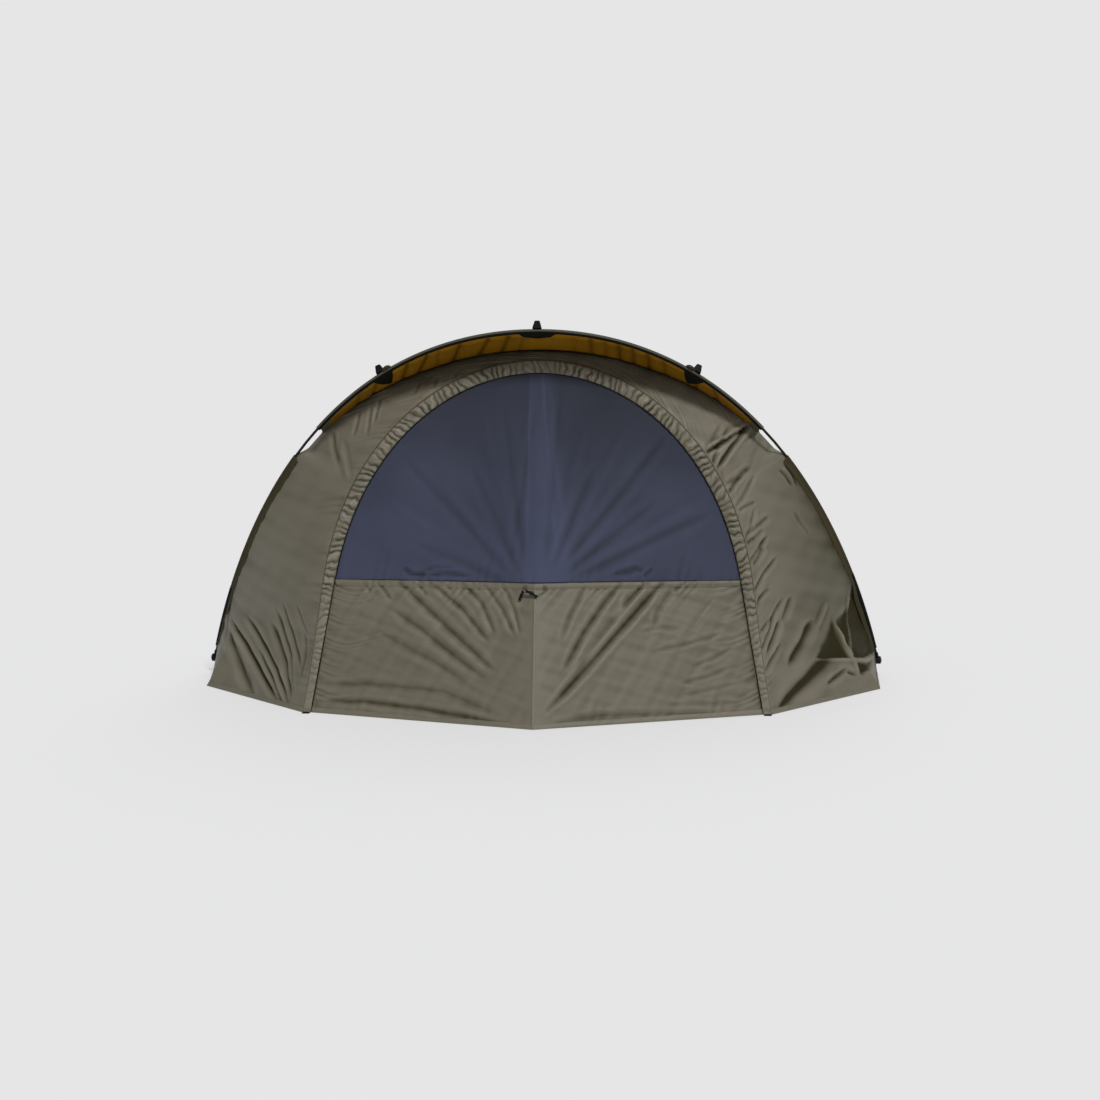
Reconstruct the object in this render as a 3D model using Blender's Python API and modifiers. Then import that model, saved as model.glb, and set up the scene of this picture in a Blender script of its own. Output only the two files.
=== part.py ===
"""One-man angling bivvy tent: two hub blocks, four bent poles, a hood that tips back and a zipped front.

The skin is built on curves that turn about the hub axis, the line through both rivets.
Lengths are in metres. X runs across the tent, -Y is the front and Z is up, with the origin under its middle.
"""

import math

import bmesh
import bpy
from mathutils import Matrix, Vector

# Overall stance
HUB_Y = 0.129
HUB_Z = 0.060
PROW_Y = -1.087

# Pole arcs: distance from the hub axis to the crown, with the step down to each next arc, and half the span
HOOP_RADIUS = 1.511
HOOP_HALF = 1.369
MIDDLE_RADIUS = 1.130
REAR_STEP = 0.120
BACK_STEP = 0.025
FOOT_PITCH = 0.024
HOOP_LEAN = math.radians(31.75)
MIDDLE_LEAN = math.radians(6.7)
TRAIL_LEAN = math.radians(-17.5)
REAR_LEAN = math.radians(-13.5)
BACK_LEAN = math.radians(-52.0)
TRAIL_CLEARANCE = 0.014
TAIL_INSET = 0.010

# Shape of every arc, as shares of its own half span and crown radius
CROWN_PULL_SHARE = 0.543
SHOULDER_OUT_SHARE = 0.843
SHOULDER_UP_SHARE = 0.495

# Places along an arc, from the crown to the foot
GAP_TOP_SHARE = 0.455
GAP_BOTTOM_SHARE = 0.528
FOOT_SHARE = 0.970
BAR_SHARE = 0.290
CROWN_STEPS = 9
GAP_STEPS = 2
LEG_STEPS = 9
GORE_STEPS = 6
SHELL_ROW_COUNT = 2
TRAIL_ROW_COUNT = 1
WALL_ROWS = 4
TANGENT_SHARE = 0.001

# Where the front wall meets the roof, as shares of the way from the hoop to the middle rib
BROW_SHARE = 0.33
SCALLOP_SHARE = 0.14
BROW_FLAT_SHARE = 0.15
LINING_MARGIN_SHARE = 0.05

# Cloth and poles
POLE_DIAMETER = 0.010
CLOTH = 0.0012
GAP = 0.0003
SEAM = 0.0003
CENTRE_SEAM = 0.0008
COVER_CLEARANCE = 0.0018
EDGE_CLEARANCE = 0.0022
SLEEVE_PLAY = 0.0009
SLEEVE_SIDES = 8

# Front wall
DOOR_FOOT_Y = -0.790
DOOR_TOP_Y = -0.510
DOOR_TOP_Z = 1.203
DOOR_FOOT_HALF = 0.798
DOOR_SILL_HALF = 0.725
DOOR_SILL = 0.470
DOOR_ARCH_RISE = 0.513
DOOR_ARCH_PULL = 0.305
DOOR_SIDE_PLAY = 0.0020
DOOR_FOLD = 0.006
DOOR_FOLDS = 7
DOOR_COLUMNS = 10
SILL_STEPS = 6
NETTING_COLUMNS = 4
NETTING_TOP_SHARE = 0.8
RUFFLE_FOOT_WIDTH = 0.028
RUFFLE_TOP_WIDTH = 0.050
RUFFLE_WIDE_SHARE = 0.5
RUFFLE_FLAT_SHARE = 0.10
RUFFLE_RISE_SHARE = 0.25
RUFFLE_DEPTH = 0.007
RUFFLE_PLEATS = 25
RUFFLE_CUTS = 5
CORNER_HALF = 1.311
CORNER_Y = -0.231
HEEL_HALF = 1.360
HEEL_RUN = 0.050
CORNER_COLUMN = 6
WING_COLUMNS = 8
FLARE_ROWS = 5
FIRST_ROW_SHARE = 0.5
WING_FOLD = 0.009
WING_FOLDS = 9

# Rear wall
VENT_HALF_SHARE = 0.16
VENT_HIGH_SHARE = 0.25
VENT_LOW_SHARE = 0.75
VENT_LAP_SHARE = 0.02
VENT_HOOD_TOP_SHARE = 0.19
VENT_HOOD_LOW_SHARE = 0.41
VENT_HOOD_STAND = 0.045

# Hub
BLOCK_WIDTH = 0.032
BLOCK_RADIUS = 0.018
BLOCK_PROUD = 0.0085
BLOCK_STEM_LENGTH = 0.034
BOSS_RADIUS = 0.0075
BLOCK_FOOT_LENGTH = 0.080
BLOCK_FOOT_WIDTH = 0.060
BLOCK_FOOT_HEIGHT = 0.010
SOCKET_RADIUS = 0.008
SOCKET_REACH = 0.038
EYE_RADIUS = 0.016
EYE_WIDTH = 0.022
RIVET_DIAMETER = 0.008
RIVET_PLAY = 0.0004
RIVET_HEAD_RADIUS = 0.0095
RIVET_HEAD_HEIGHT = 0.004

# Tension bars
BAR_DIAMETER = 0.012
BAR_FRONT_LIFT = 0.024
BAR_REAR_LIFT = 0.020
BAR_REACH = 0.016
BAR_EYE_RADIUS = 0.0075
CAP_LENGTH = 0.046
CAP_WIDTH = 0.034
CAP_TOP_WIDTH = 0.018
CAP_HEIGHT = 0.031
CAP_EDGE = 0.003
CLIP_WIDTH = 0.026
CLIP_LENGTH = 0.030
CLIP_PLATE = 0.0025
CLIP_EAR = 0.004
PIN_DIAMETER = 0.004

# Zip
ZIP_WIDTH = 0.008
ZIP_HEIGHT = 0.002
ZIP_STAND = 0.0007
ZIP_LAP = 0.004
SLIDER_LENGTH = 0.015
SLIDER_WIDTH = 0.010
SLIDER_HEIGHT = 0.005
SLIDER_START = 0.034
SLIDER_EDGE = 0.001
PULL_LENGTH = 0.034
PULL_WIDTH = 0.010
PULL_HEIGHT = 0.004
PULL_EDGE = 0.0007
PULL_EYE = 0.002
PULL_PIN_RADIUS = 0.001

# Ground
SHEET_INSET = 0.006
SHEET_SEAM = 0.0012
LOOP_SHARE = 0.42
LOOP_EDGE_SHARE = 0.5
FRONT_LOOP_WIDTH = 0.026
FRONT_LOOP_LENGTH = 0.022
LOOP_WIDTH = 0.020
LOOP_LENGTH = 0.050
LOOP_HEIGHT = 0.002
LOOP_HOLE = 0.009

OVERRUN = 0.010
SIDES = ((-1, "left"), (1, "right"))

# Sizes that follow from the ones above
REAR_RADIUS = MIDDLE_RADIUS - REAR_STEP
BACK_RADIUS = REAR_RADIUS - BACK_STEP
TAIL_RADIUS = -PROW_Y - HUB_Y
MIDDLE_HALF = HOOP_HALF - FOOT_PITCH
REAR_HALF = MIDDLE_HALF - FOOT_PITCH
TAIL_HALF = REAR_HALF - TAIL_INSET
HOOP_SIZES = (HOOP_HALF, HOOP_RADIUS)
MIDDLE_SIZES = (MIDDLE_HALF, MIDDLE_RADIUS)
REAR_SIZES = (REAR_HALF, REAR_RADIUS)
BACK_SIZES = (REAR_HALF, BACK_RADIUS)
RIB_LIFT = POLE_DIAMETER / 2 + CLOTH / 2 + COVER_CLEARANCE
SLEEVE_RADIUS = POLE_DIAMETER / 2 + SLEEVE_PLAY + CLOTH
SLEEVE_CLEAR = SLEEVE_RADIUS + GAP
DOOR_SLOPE = math.hypot(DOOR_TOP_Z, DOOR_TOP_Y - DOOR_FOOT_Y)
ARCH_ROWS = CROWN_STEPS + GAP_STEPS + LEG_STEPS
SILL_SHARE = SILL_STEPS / ARCH_ROWS

for item in list(bpy.data.objects):
    bpy.data.objects.remove(item, do_unlink=True)

tent = bpy.data.collections.new("bivvy_tent")
bpy.context.scene.collection.children.link(tent)
cutters = bpy.data.collections.new("cutters")
bpy.context.scene.collection.children.link(cutters)


def material(name, hex_colour, roughness, metallic=0.0):
    """A plain finish, its colour written as sRGB."""
    made = bpy.data.materials.new(name)
    made.use_nodes = True
    shader = made.node_tree.nodes["Principled BSDF"]
    channels = [int(hex_colour[i:i + 2], 16) / 255 for i in (0, 2, 4)]
    linear = [c / 12.92 if c < 0.04045 else ((c + 0.055) / 1.055) ** 2.4 for c in channels]
    shader.inputs["Base Color"].default_value = (*linear, 1)
    shader.inputs["Roughness"].default_value = roughness
    shader.inputs["Metallic"].default_value = metallic
    return made


OLIVE = material("olive_polyester", "6b685b", 0.55)
AMBER = material("amber_coating", "5a430c", 0.45)
NETTING = material("mosquito_netting", "43465a", 0.8)
SLEEVE = material("sleeve_webbing", "57523f", 0.7)
BLACK = material("black_nylon", "15161a", 0.45)
POLE = material("black_glass_fibre", "1b1a17", 0.35)
STEEL = material("zinc_plated_steel", "8d9096", 0.35, 1.0)
SHEETING = material("groundsheet_pvc", "2c2f28", 0.6)


def add(name, data, finish=None):
    """Links a mesh or curve as a named object with its finish."""
    made = bpy.data.objects.new(name, data)
    tent.objects.link(made)
    if finish:
        data.materials.append(finish)
    return made


def mesh_of(bm, name):
    """Turns a bmesh into mesh data, its faces pointing out."""
    bmesh.ops.recalc_face_normals(bm, faces=bm.faces)
    data = bpy.data.meshes.new(name)
    bm.to_mesh(data)
    bm.free()
    return data


def guide(shape):
    """Moves a helper shape among the cutters, drawn as a wire."""
    for owner in list(shape.users_collection):
        owner.objects.unlink(shape)
    cutters.objects.link(shape)
    shape.hide_render = True
    shape.display_type = "WIRE"


def combine(target, other, operation):
    guide(other)
    step = target.modifiers.new(operation.lower(), "BOOLEAN")
    step.operation = operation
    step.solver = "EXACT"
    step.object = other


def cut(target, cutter):
    """Takes the cutter's shape out of the target."""
    combine(target, cutter, "DIFFERENCE")


def join(target, addition):
    """Unites the target with another solid."""
    combine(target, addition, "UNION")


def soften(target, width, segments=1):
    """Rounds the edges of a solid."""
    edge = target.modifiers.new("edge", "BEVEL")
    edge.width = width
    edge.segments = segments


def place(axis_x, axis_y, axis_z, origin):
    """A matrix from three unit axes and an origin."""
    turn = Matrix((axis_x, axis_y, axis_z)).transposed()
    return Matrix.Translation(origin) @ turn.to_4x4()


def box(name, size, centre, finish=None, matrix=None):
    """A box of that size about a centre, in the frame of the matrix."""
    bm = bmesh.new()
    bmesh.ops.create_cube(bm, size=1)
    for vert in bm.verts:
        vert.co = Vector([vert.co[i] * size[i] + centre[i] for i in range(3)])
    if matrix:
        bmesh.ops.transform(bm, matrix=matrix, verts=bm.verts)
    return add(name, mesh_of(bm, name), finish)


def rod(name, start, end, radius, finish=None, sides=16):
    """A round bar between two points."""
    span = end - start
    turn = span.to_track_quat("Z", "Y").to_matrix().to_4x4()
    frame = Matrix.Translation((start + end) / 2) @ turn
    bm = bmesh.new()
    bmesh.ops.create_cone(
        bm, cap_ends=True, segments=sides, radius1=radius, radius2=radius, depth=span.length, matrix=frame)
    return add(name, mesh_of(bm, name), finish)


def cubic(points, t):
    """A point on the cubic curve with these four controls."""
    a, b, c, d = points
    return a * (1 - t) ** 3 + b * 3 * (1 - t) ** 2 * t + c * 3 * (1 - t) * t ** 2 + d * t ** 3


def arc(half, radius, s):
    """Across and outward place on an arc; s runs from -1 at the left foot to 1 at the right one."""
    controls = [
        Vector((0, radius)),
        Vector((CROWN_PULL_SHARE * half, radius)),
        Vector((SHOULDER_OUT_SHARE * half, SHOULDER_UP_SHARE * radius)),
        Vector((half, 0)),
    ]
    flat = cubic(controls, abs(s))
    return Vector((math.copysign(flat.x, s), flat.y))


def leaning(flat, lean):
    """Lifts a flat arc point into space, leaning forward about the hub axis."""
    return Vector((flat.x, HUB_Y - flat.y * math.sin(lean), HUB_Z + flat.y * math.cos(lean)))


def rib(sizes, lean, s, lift=0.0):
    """A point of a leaning arc, lifted off it by that much."""
    half, radius = sizes
    return leaning(arc(half + lift, radius + lift, s), lean)


def hoop(s):
    return rib(HOOP_SIZES, HOOP_LEAN, s)


def middle(s):
    return rib(MIDDLE_SIZES, MIDDLE_LEAN, s, RIB_LIFT)


def trail(s):
    """The hood's trailing edge, which laps outside the rear shell."""
    flat = arc(MIDDLE_HALF + RIB_LIFT, REAR_RADIUS + RIB_LIFT + TRAIL_CLEARANCE, s)
    return leaning(flat, TRAIL_LEAN)


def rear(s):
    return rib(REAR_SIZES, REAR_LEAN, s, RIB_LIFT)


def back(s):
    return rib(BACK_SIZES, BACK_LEAN, s, RIB_LIFT)


def tail(s, inset=0.0):
    """The rear wall's line on the ground."""
    flat = arc(TAIL_HALF - inset, TAIL_RADIUS - inset, s)
    return Vector((flat.x, HUB_Y + flat.y, CLOTH / 2))


def steps(low, high, count):
    return [low + (high - low) * i / count for i in range(count + 1)]


# Shares along half an arc, crown to foot, with a point at each end of the bare stretch of pole
HALF_PLACES = (
    steps(0, GAP_TOP_SHARE, CROWN_STEPS)[:-1]
    + steps(GAP_TOP_SHARE, GAP_BOTTOM_SHARE, GAP_STEPS)[:-1]
    + steps(GAP_BOTTOM_SHARE, FOOT_SHARE, LEG_STEPS)
)
PLACES = [-s for s in reversed(HALF_PLACES[1:])] + HALF_PLACES


def places_between(low, high):
    """The shared places that lie from low to high."""
    return [s for s in PLACES if low - TANGENT_SHARE <= s <= high + TANGENT_SHARE]


def ease(t):
    t = min(max(t, 0.0), 1.0)
    return t * t * (3 - 2 * t)


def beside(start, end, distance):
    """The point that far from start towards end."""
    return start + (end - start).normalized() * distance


def clear_of(line, s, target, distance):
    """The point on the way from the line to the target that stands off the line by that distance."""
    start = line(s)
    tangent = (line(s + TANGENT_SHARE) - line(s - TANGENT_SHARE)).normalized()
    ahead = (target - start).normalized()
    return start + ahead * distance / ahead.cross(tangent).length


def brow_share(s):
    """How far behind the hoop the front wall meets the roof."""
    s = abs(s)
    if s >= GAP_BOTTOM_SHARE:
        return 0.0
    if s >= GAP_TOP_SHARE:
        half_gap = (GAP_BOTTOM_SHARE - GAP_TOP_SHARE) / 2
        return SCALLOP_SHARE * ease((GAP_BOTTOM_SHARE - s) / half_gap)
    rise = ease((GAP_TOP_SHARE - s) / (GAP_TOP_SHARE - BROW_FLAT_SHARE))
    return SCALLOP_SHARE + (BROW_SHARE - SCALLOP_SHARE) * rise


def wall_line(s):
    """Where the front wall meets the roof, or the hoop itself down the legs."""
    return hoop(s).lerp(middle(s), brow_share(s))


def roof_edge(s, side):
    """The roof's edge at the wall line: side 1 is the roof behind it, side -1 the brow before it."""
    if brow_share(s) == 0.0:
        return clear_of(hoop, s, middle(s), SLEEVE_CLEAR)
    return wall_line(s) + (middle(s) - hoop(s)).normalized() * side * SEAM


def sheet(name, across, along, surface, finish):
    """A cloth panel: a grid laid on a surface, then thickened both ways."""
    columns, rows = len(across) - 1, len(along) - 1
    bm = bmesh.new()
    bmesh.ops.create_grid(bm, x_segments=columns, y_segments=rows, size=1)
    for vert in bm.verts:
        i = round((vert.co.x + 1) / 2 * columns)
        j = round((vert.co.y + 1) / 2 * rows)
        vert.co = surface(across[i], along[j])
    made = add(name, mesh_of(bm, name), finish)
    thicken(made)
    return made


def thicken(cloth):
    skin = cloth.modifiers.new("cloth", "SOLIDIFY")
    skin.thickness = CLOTH
    skin.offset = 0
    skin.use_even_offset = True


def normal_at(surface, a, b):
    """The unit normal of a surface, found by small steps."""
    across = surface(a + TANGENT_SHARE, b) - surface(a - TANGENT_SHARE, b)
    along = surface(a, b + TANGENT_SHARE) - surface(a, b - TANGENT_SHARE)
    return across.cross(along).normalized()


def facing(normal, way):
    """The normal, turned to the side that way points to."""
    return normal if normal.dot(way) > 0 else -normal


UP = Vector((0, 0, 1))
FRONT = Vector((0, -1, 0))
REARWARD = Vector((0, 1, 0))


def end_share(sizes):
    """The place on an arc where its pole ends, in the socket of its hub or knuckle."""
    pace = (arc(*sizes, 1) - arc(*sizes, 1 - TANGENT_SHARE)).length / TANGENT_SHARE
    return 1 - SOCKET_REACH / pace


def arc_curve(name, sizes, lean, places):
    """A bar curve along the arc, standing on the hub axis."""
    curve = bpy.data.curves.new(name, "CURVE")
    curve.dimensions = "3D"
    curve.bevel_resolution = 2
    line = curve.splines.new("POLY")
    line.points.add(len(places) - 1)
    for point, s in zip(line.points, places):
        flat = arc(*sizes, s)
        point.co = (flat.x, flat.y, 0, 1)
    made = add(name, curve)
    made.location = (0, HUB_Y, HUB_Z)
    made.rotation_euler = (math.pi / 2 + lean, 0, 0)
    return made


def make_pole(name, sizes, lean):
    end = end_share(sizes)
    made = arc_curve(name, sizes, lean, [-end] + PLACES + [end])
    made.data.bevel_depth = POLE_DIAMETER / 2
    made.data.use_fill_caps = True
    made.data.materials.append(POLE)


def make_sleeve(name, places):
    """A cloth sleeve round the front hoop, open at both ends."""
    ring = bpy.data.curves.new(name + "_ring", "CURVE")
    ring.dimensions = "2D"
    loop = ring.splines.new("POLY")
    loop.points.add(SLEEVE_SIDES - 1)
    for i, point in enumerate(loop.points):
        turn = 2 * math.pi * i / SLEEVE_SIDES
        radius = SLEEVE_RADIUS - CLOTH / 2
        point.co = (radius * math.cos(turn), radius * math.sin(turn), 0, 1)
    loop.use_cyclic_u = True
    section = add(name + "_ring", ring)
    line = arc_curve(name + "_line", HOOP_SIZES, HOOP_LEAN, places)
    line.data.bevel_mode = "OBJECT"
    line.data.bevel_object = section
    bpy.context.view_layer.update()
    shape = line.evaluated_get(bpy.context.evaluated_depsgraph_get())
    made = add(name, bpy.data.meshes.new_from_object(shape), SLEEVE)
    made.matrix_world = line.matrix_world
    bpy.data.objects.remove(line, do_unlink=True)
    bpy.data.objects.remove(section, do_unlink=True)
    thicken(made)


def make_frame():
    """Two poles that turn with the hood, two that stand still, and the sleeves on the front one."""
    make_pole("front_hoop", HOOP_SIZES, HOOP_LEAN)
    make_pole("middle_rib", MIDDLE_SIZES, MIDDLE_LEAN)
    make_pole("rear_rib", REAR_SIZES, REAR_LEAN)
    make_pole("back_rib", BACK_SIZES, BACK_LEAN)
    make_sleeve("brow_sleeve", places_between(-GAP_TOP_SHARE, GAP_TOP_SHARE))
    make_sleeve("side_sleeve_left", places_between(-FOOT_SHARE, -GAP_BOTTOM_SHARE))
    make_sleeve("side_sleeve_right", places_between(GAP_BOTTOM_SHARE, FOOT_SHARE))


def roof_front(s, v):
    """The roof from the wall line to the seam over the middle rib."""
    return roof_edge(s, 1).lerp(beside(middle(s), hoop(s), SEAM), v)


def roof_rear(s, v):
    """The roof from the middle rib to the hood's trailing edge."""
    return beside(middle(s), trail(s), SEAM).lerp(trail(s), v)


def rear_shell(s, v):
    """The fixed shell between the rear rib and the back rib."""
    return rear(s).lerp(beside(back(s), rear(s), SEAM), v)


def back_wall(s, v):
    """The rear wall from the back rib to the ground."""
    return beside(back(s), tail(s), SEAM).lerp(tail(s), v)


def gores(stem, surface, rows):
    """Left, centre and right panels of a surface, with a seam between neighbours."""
    cut_at = HALF_PLACES[GORE_STEPS]
    spans = (("left", -FOOT_SHARE, -cut_at), ("centre", -cut_at, cut_at), ("right", cut_at, FOOT_SHARE))
    made = {}
    for side, low, high in spans:
        places = places_between(low, high)

        def apart(s, v):
            """Draws the panel's end rows back from the seam."""
            point = surface(s, v)
            if abs(s) == cut_at:
                inner = places[1] if s == places[0] else places[-2]
                point = beside(point, surface(inner, v), SEAM)
            return point

        made[side] = sheet(f"{stem}_{side}", places, steps(0, 1, rows), apart, OLIVE)
    return made


def make_roof():
    gores("roof_front", roof_front, SHELL_ROW_COUNT)
    gores("roof_rear", roof_rear, TRAIL_ROW_COUNT)
    gores("rear_shell", rear_shell, SHELL_ROW_COUNT)


def make_brow():
    """The overhang before the front wall, and its coated lining."""
    places = places_between(-GAP_TOP_SHARE, GAP_TOP_SHARE)

    def cover(s, v):
        return clear_of(hoop, s, middle(s), SLEEVE_CLEAR).lerp(roof_edge(s, -1), v)

    def lining(s, v):
        return cover(s, v) - facing(normal_at(cover, s, v), UP) * (CLOTH + GAP)

    sheet("brow_panel", places, steps(0, 1, SHELL_ROW_COUNT), cover, OLIVE)
    inside = steps(LINING_MARGIN_SHARE, 1 - LINING_MARGIN_SHARE, SHELL_ROW_COUNT)
    sheet("brow_lining", places, inside, lining, AMBER)


def door_plane(flat):
    """A point on the leaning plane of the door arch, given across it and up its slope."""
    share = flat.y / DOOR_SLOPE
    return Vector((flat.x, DOOR_FOOT_Y + (DOOR_TOP_Y - DOOR_FOOT_Y) * share, DOOR_TOP_Z * share))


def arch(t):
    """Half the door arch in its plane, from 0 at the ground to 1 at the crown: straight, then curved."""
    if t <= SILL_SHARE:
        return Vector((DOOR_FOOT_HALF, 0)).lerp(Vector((DOOR_SILL_HALF, DOOR_SILL)), t / SILL_SHARE)
    taper = (DOOR_FOOT_HALF - DOOR_SILL_HALF) / DOOR_SILL
    controls = [
        Vector((DOOR_SILL_HALF, DOOR_SILL)),
        Vector((DOOR_SILL_HALF - taper * DOOR_ARCH_RISE, DOOR_SILL + DOOR_ARCH_RISE)),
        Vector((DOOR_ARCH_PULL, DOOR_SLOPE)),
        Vector((0, DOOR_SLOPE)),
    ]
    return cubic(controls, (t - SILL_SHARE) / (1 - SILL_SHARE))


def band_edge(t):
    """The outer edge of the gathered band, which runs round the door arch."""
    ahead, behind = arch(min(t + TANGENT_SHARE, 1)), arch(max(t - TANGENT_SHARE, 0))
    along = (ahead - behind).normalized()
    width = RUFFLE_FOOT_WIDTH + (RUFFLE_TOP_WIDTH - RUFFLE_FOOT_WIDTH) * ease(t / RUFFLE_WIDE_SHARE)
    flat = arch(t) + Vector((along.y, -along.x)) * width
    if t == 0:
        flat.y = 0
    if t == 1:
        flat.x = 0
    return flat


ARCH_POINTS = [arch(t) for t in steps(0, 1, ARCH_ROWS)]
BAND_POINTS = [band_edge(t) for t in steps(0, 1, ARCH_ROWS)]


def on_line(points, row):
    """A point or a size on a line of them, given as a row number that may lie between two."""
    i = min(max(int(row), 0), len(points) - 2)
    return points[i] + (points[i + 1] - points[i]) * (row - i)


def on_side(point, side):
    """The point on that side of the tent, off its middle plane and off the ground."""
    return Vector((side * max(point.x, CENTRE_SEAM), point.y, max(point.z, CLOTH / 2)))


def make_wing(side, name):
    """The front wall beside the door: from the gathered band to the hoop and the ground."""
    jamb_rows = [0, FIRST_ROW_SHARE] + list(range(1, ARCH_ROWS + 1))
    jamb = [door_plane(on_line(BAND_POINTS, row)) for row in jamb_rows]
    heel = Vector((HEEL_HALF, HUB_Y - HEEL_RUN, 0))
    corner = Vector((CORNER_HALF, CORNER_Y, 0))
    rim = [heel] + [wall_line(s) for s in reversed(HALF_PLACES)]
    clearances = [0.0]
    for s in reversed(HALF_PLACES):
        on_hoop = brow_share(s) == 0.0
        clearances.append(SLEEVE_CLEAR + CLOTH / 2 if on_hoop else EDGE_CLEARANCE)
    corner_share = CORNER_COLUMN / WING_COLUMNS

    def flare(v):
        """How far the ground line, by way of the corner peg, stands off the straight line to the heel."""
        if v <= corner_share:
            point = jamb[0].lerp(corner, v / corner_share)
        else:
            point = corner.lerp(heel, (v - corner_share) / (1 - corner_share))
        return point - jamb[0].lerp(heel, v)

    def flat_wing(row, v):
        near, far = on_line(jamb, row), on_line(rim, row)
        reach = (far - near).length
        start, end = SEAM / reach, 1 - on_line(clearances, row) / reach
        low = max(1 - row / FLARE_ROWS, 0.0)
        return near.lerp(far, start + (end - start) * v) + flare(v) * low * low

    def wing(row, v):
        """Main folds fan out from the foot of the jamb and die away at every edge."""
        point = flat_wing(row, v)
        if 0 < row < len(rim) - 1 and 0 < v < 1:
            foot = point - jamb[0]
            angle = math.atan2(foot.z, Vector((foot.x, foot.y)).length)
            fade = math.sin(math.pi * v) * math.sin(math.pi * row / (len(rim) - 1))
            fold = WING_FOLD * fade * math.cos(angle * 2 * WING_FOLDS)
            point = point + normal_at(flat_wing, row, v) * fold
        return on_side(point, side)

    sheet(f"wing_{name}", range(len(rim)), steps(0, 1, WING_COLUMNS), wing, OLIVE)


def make_ruffle(side, name):
    """The gathered band round the door, its pleats standing off towards the front."""
    toward_front = facing(Vector((0, -DOOR_TOP_Z, DOOR_TOP_Y - DOOR_FOOT_Y)), FRONT).normalized()

    def ruffle(row, v):
        inner, outer = on_line(ARCH_POINTS, row), on_line(BAND_POINTS, row)
        flat = beside(inner, outer, SEAM).lerp(beside(outer, inner, SEAM), v)
        t = row / ARCH_ROWS
        depth = RUFFLE_DEPTH * ease((t - RUFFLE_FLAT_SHARE) / RUFFLE_RISE_SHARE) * math.sin(math.pi * v)
        wave = (1 - math.cos(2 * math.pi * RUFFLE_PLEATS * t)) / 2
        return on_side(door_plane(flat) + toward_front * depth * wave, side)

    sheet(f"ruffle_{name}", steps(0, ARCH_ROWS, ARCH_ROWS * RUFFLE_CUTS), steps(0, 1, 2), ruffle, OLIVE)


def ridge(rise):
    """A point on the centre line of the door, a distance rise up the arch plane's slope."""
    return Vector((0, PROW_Y, 0)).lerp(Vector((0, DOOR_TOP_Y, DOOR_TOP_Z)), rise / DOOR_SLOPE)


def door_panel(row, v):
    """The right half of the door, from its centre line to the arch."""
    flat = on_line(ARCH_POINTS, row)
    inner = ridge(flat.y)
    flat.x -= DOOR_SIDE_PLAY * (1 - ease(flat.y / DOOR_SILL)) + SEAM
    outer = door_plane(flat)
    return beside(inner, outer, SEAM).lerp(outer, v)


def make_door(side, name):
    """One half of the door: solid cloth below the sill, netting above."""
    mirror = Vector((side, 1, 1))

    def lower(row, v):
        """Main folds fan out from the foot of the centre line."""
        point = door_panel(row, v)
        if 0 < v < 1 and 0 < row < SILL_STEPS:
            angle = math.atan2(point.z, point.x)
            fade = math.sin(math.pi * v) * math.sin(math.pi * row / SILL_STEPS)
            fold = DOOR_FOLD * fade * math.cos(angle * 2 * DOOR_FOLDS)
            point = point + normal_at(door_panel, row, v) * fold
        point.z = max(point.z, CLOTH / 2)
        return point * mirror

    def netting(row, v):
        return door_panel(row, v) * mirror

    seam_rows = SEAM * SILL_STEPS / DOOR_SILL
    low_rows = list(range(SILL_STEPS)) + [SILL_STEPS - seam_rows]
    high_rows = [SILL_STEPS + seam_rows] + list(range(SILL_STEPS + 1, ARCH_ROWS))
    high_rows.append(ARCH_ROWS - 1 + NETTING_TOP_SHARE)
    sheet(f"door_lower_{name}", low_rows, steps(0, 1, DOOR_COLUMNS), lower, OLIVE)
    sheet(f"door_netting_{name}", high_rows, steps(0, 1, NETTING_COLUMNS), netting, NETTING)


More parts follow.
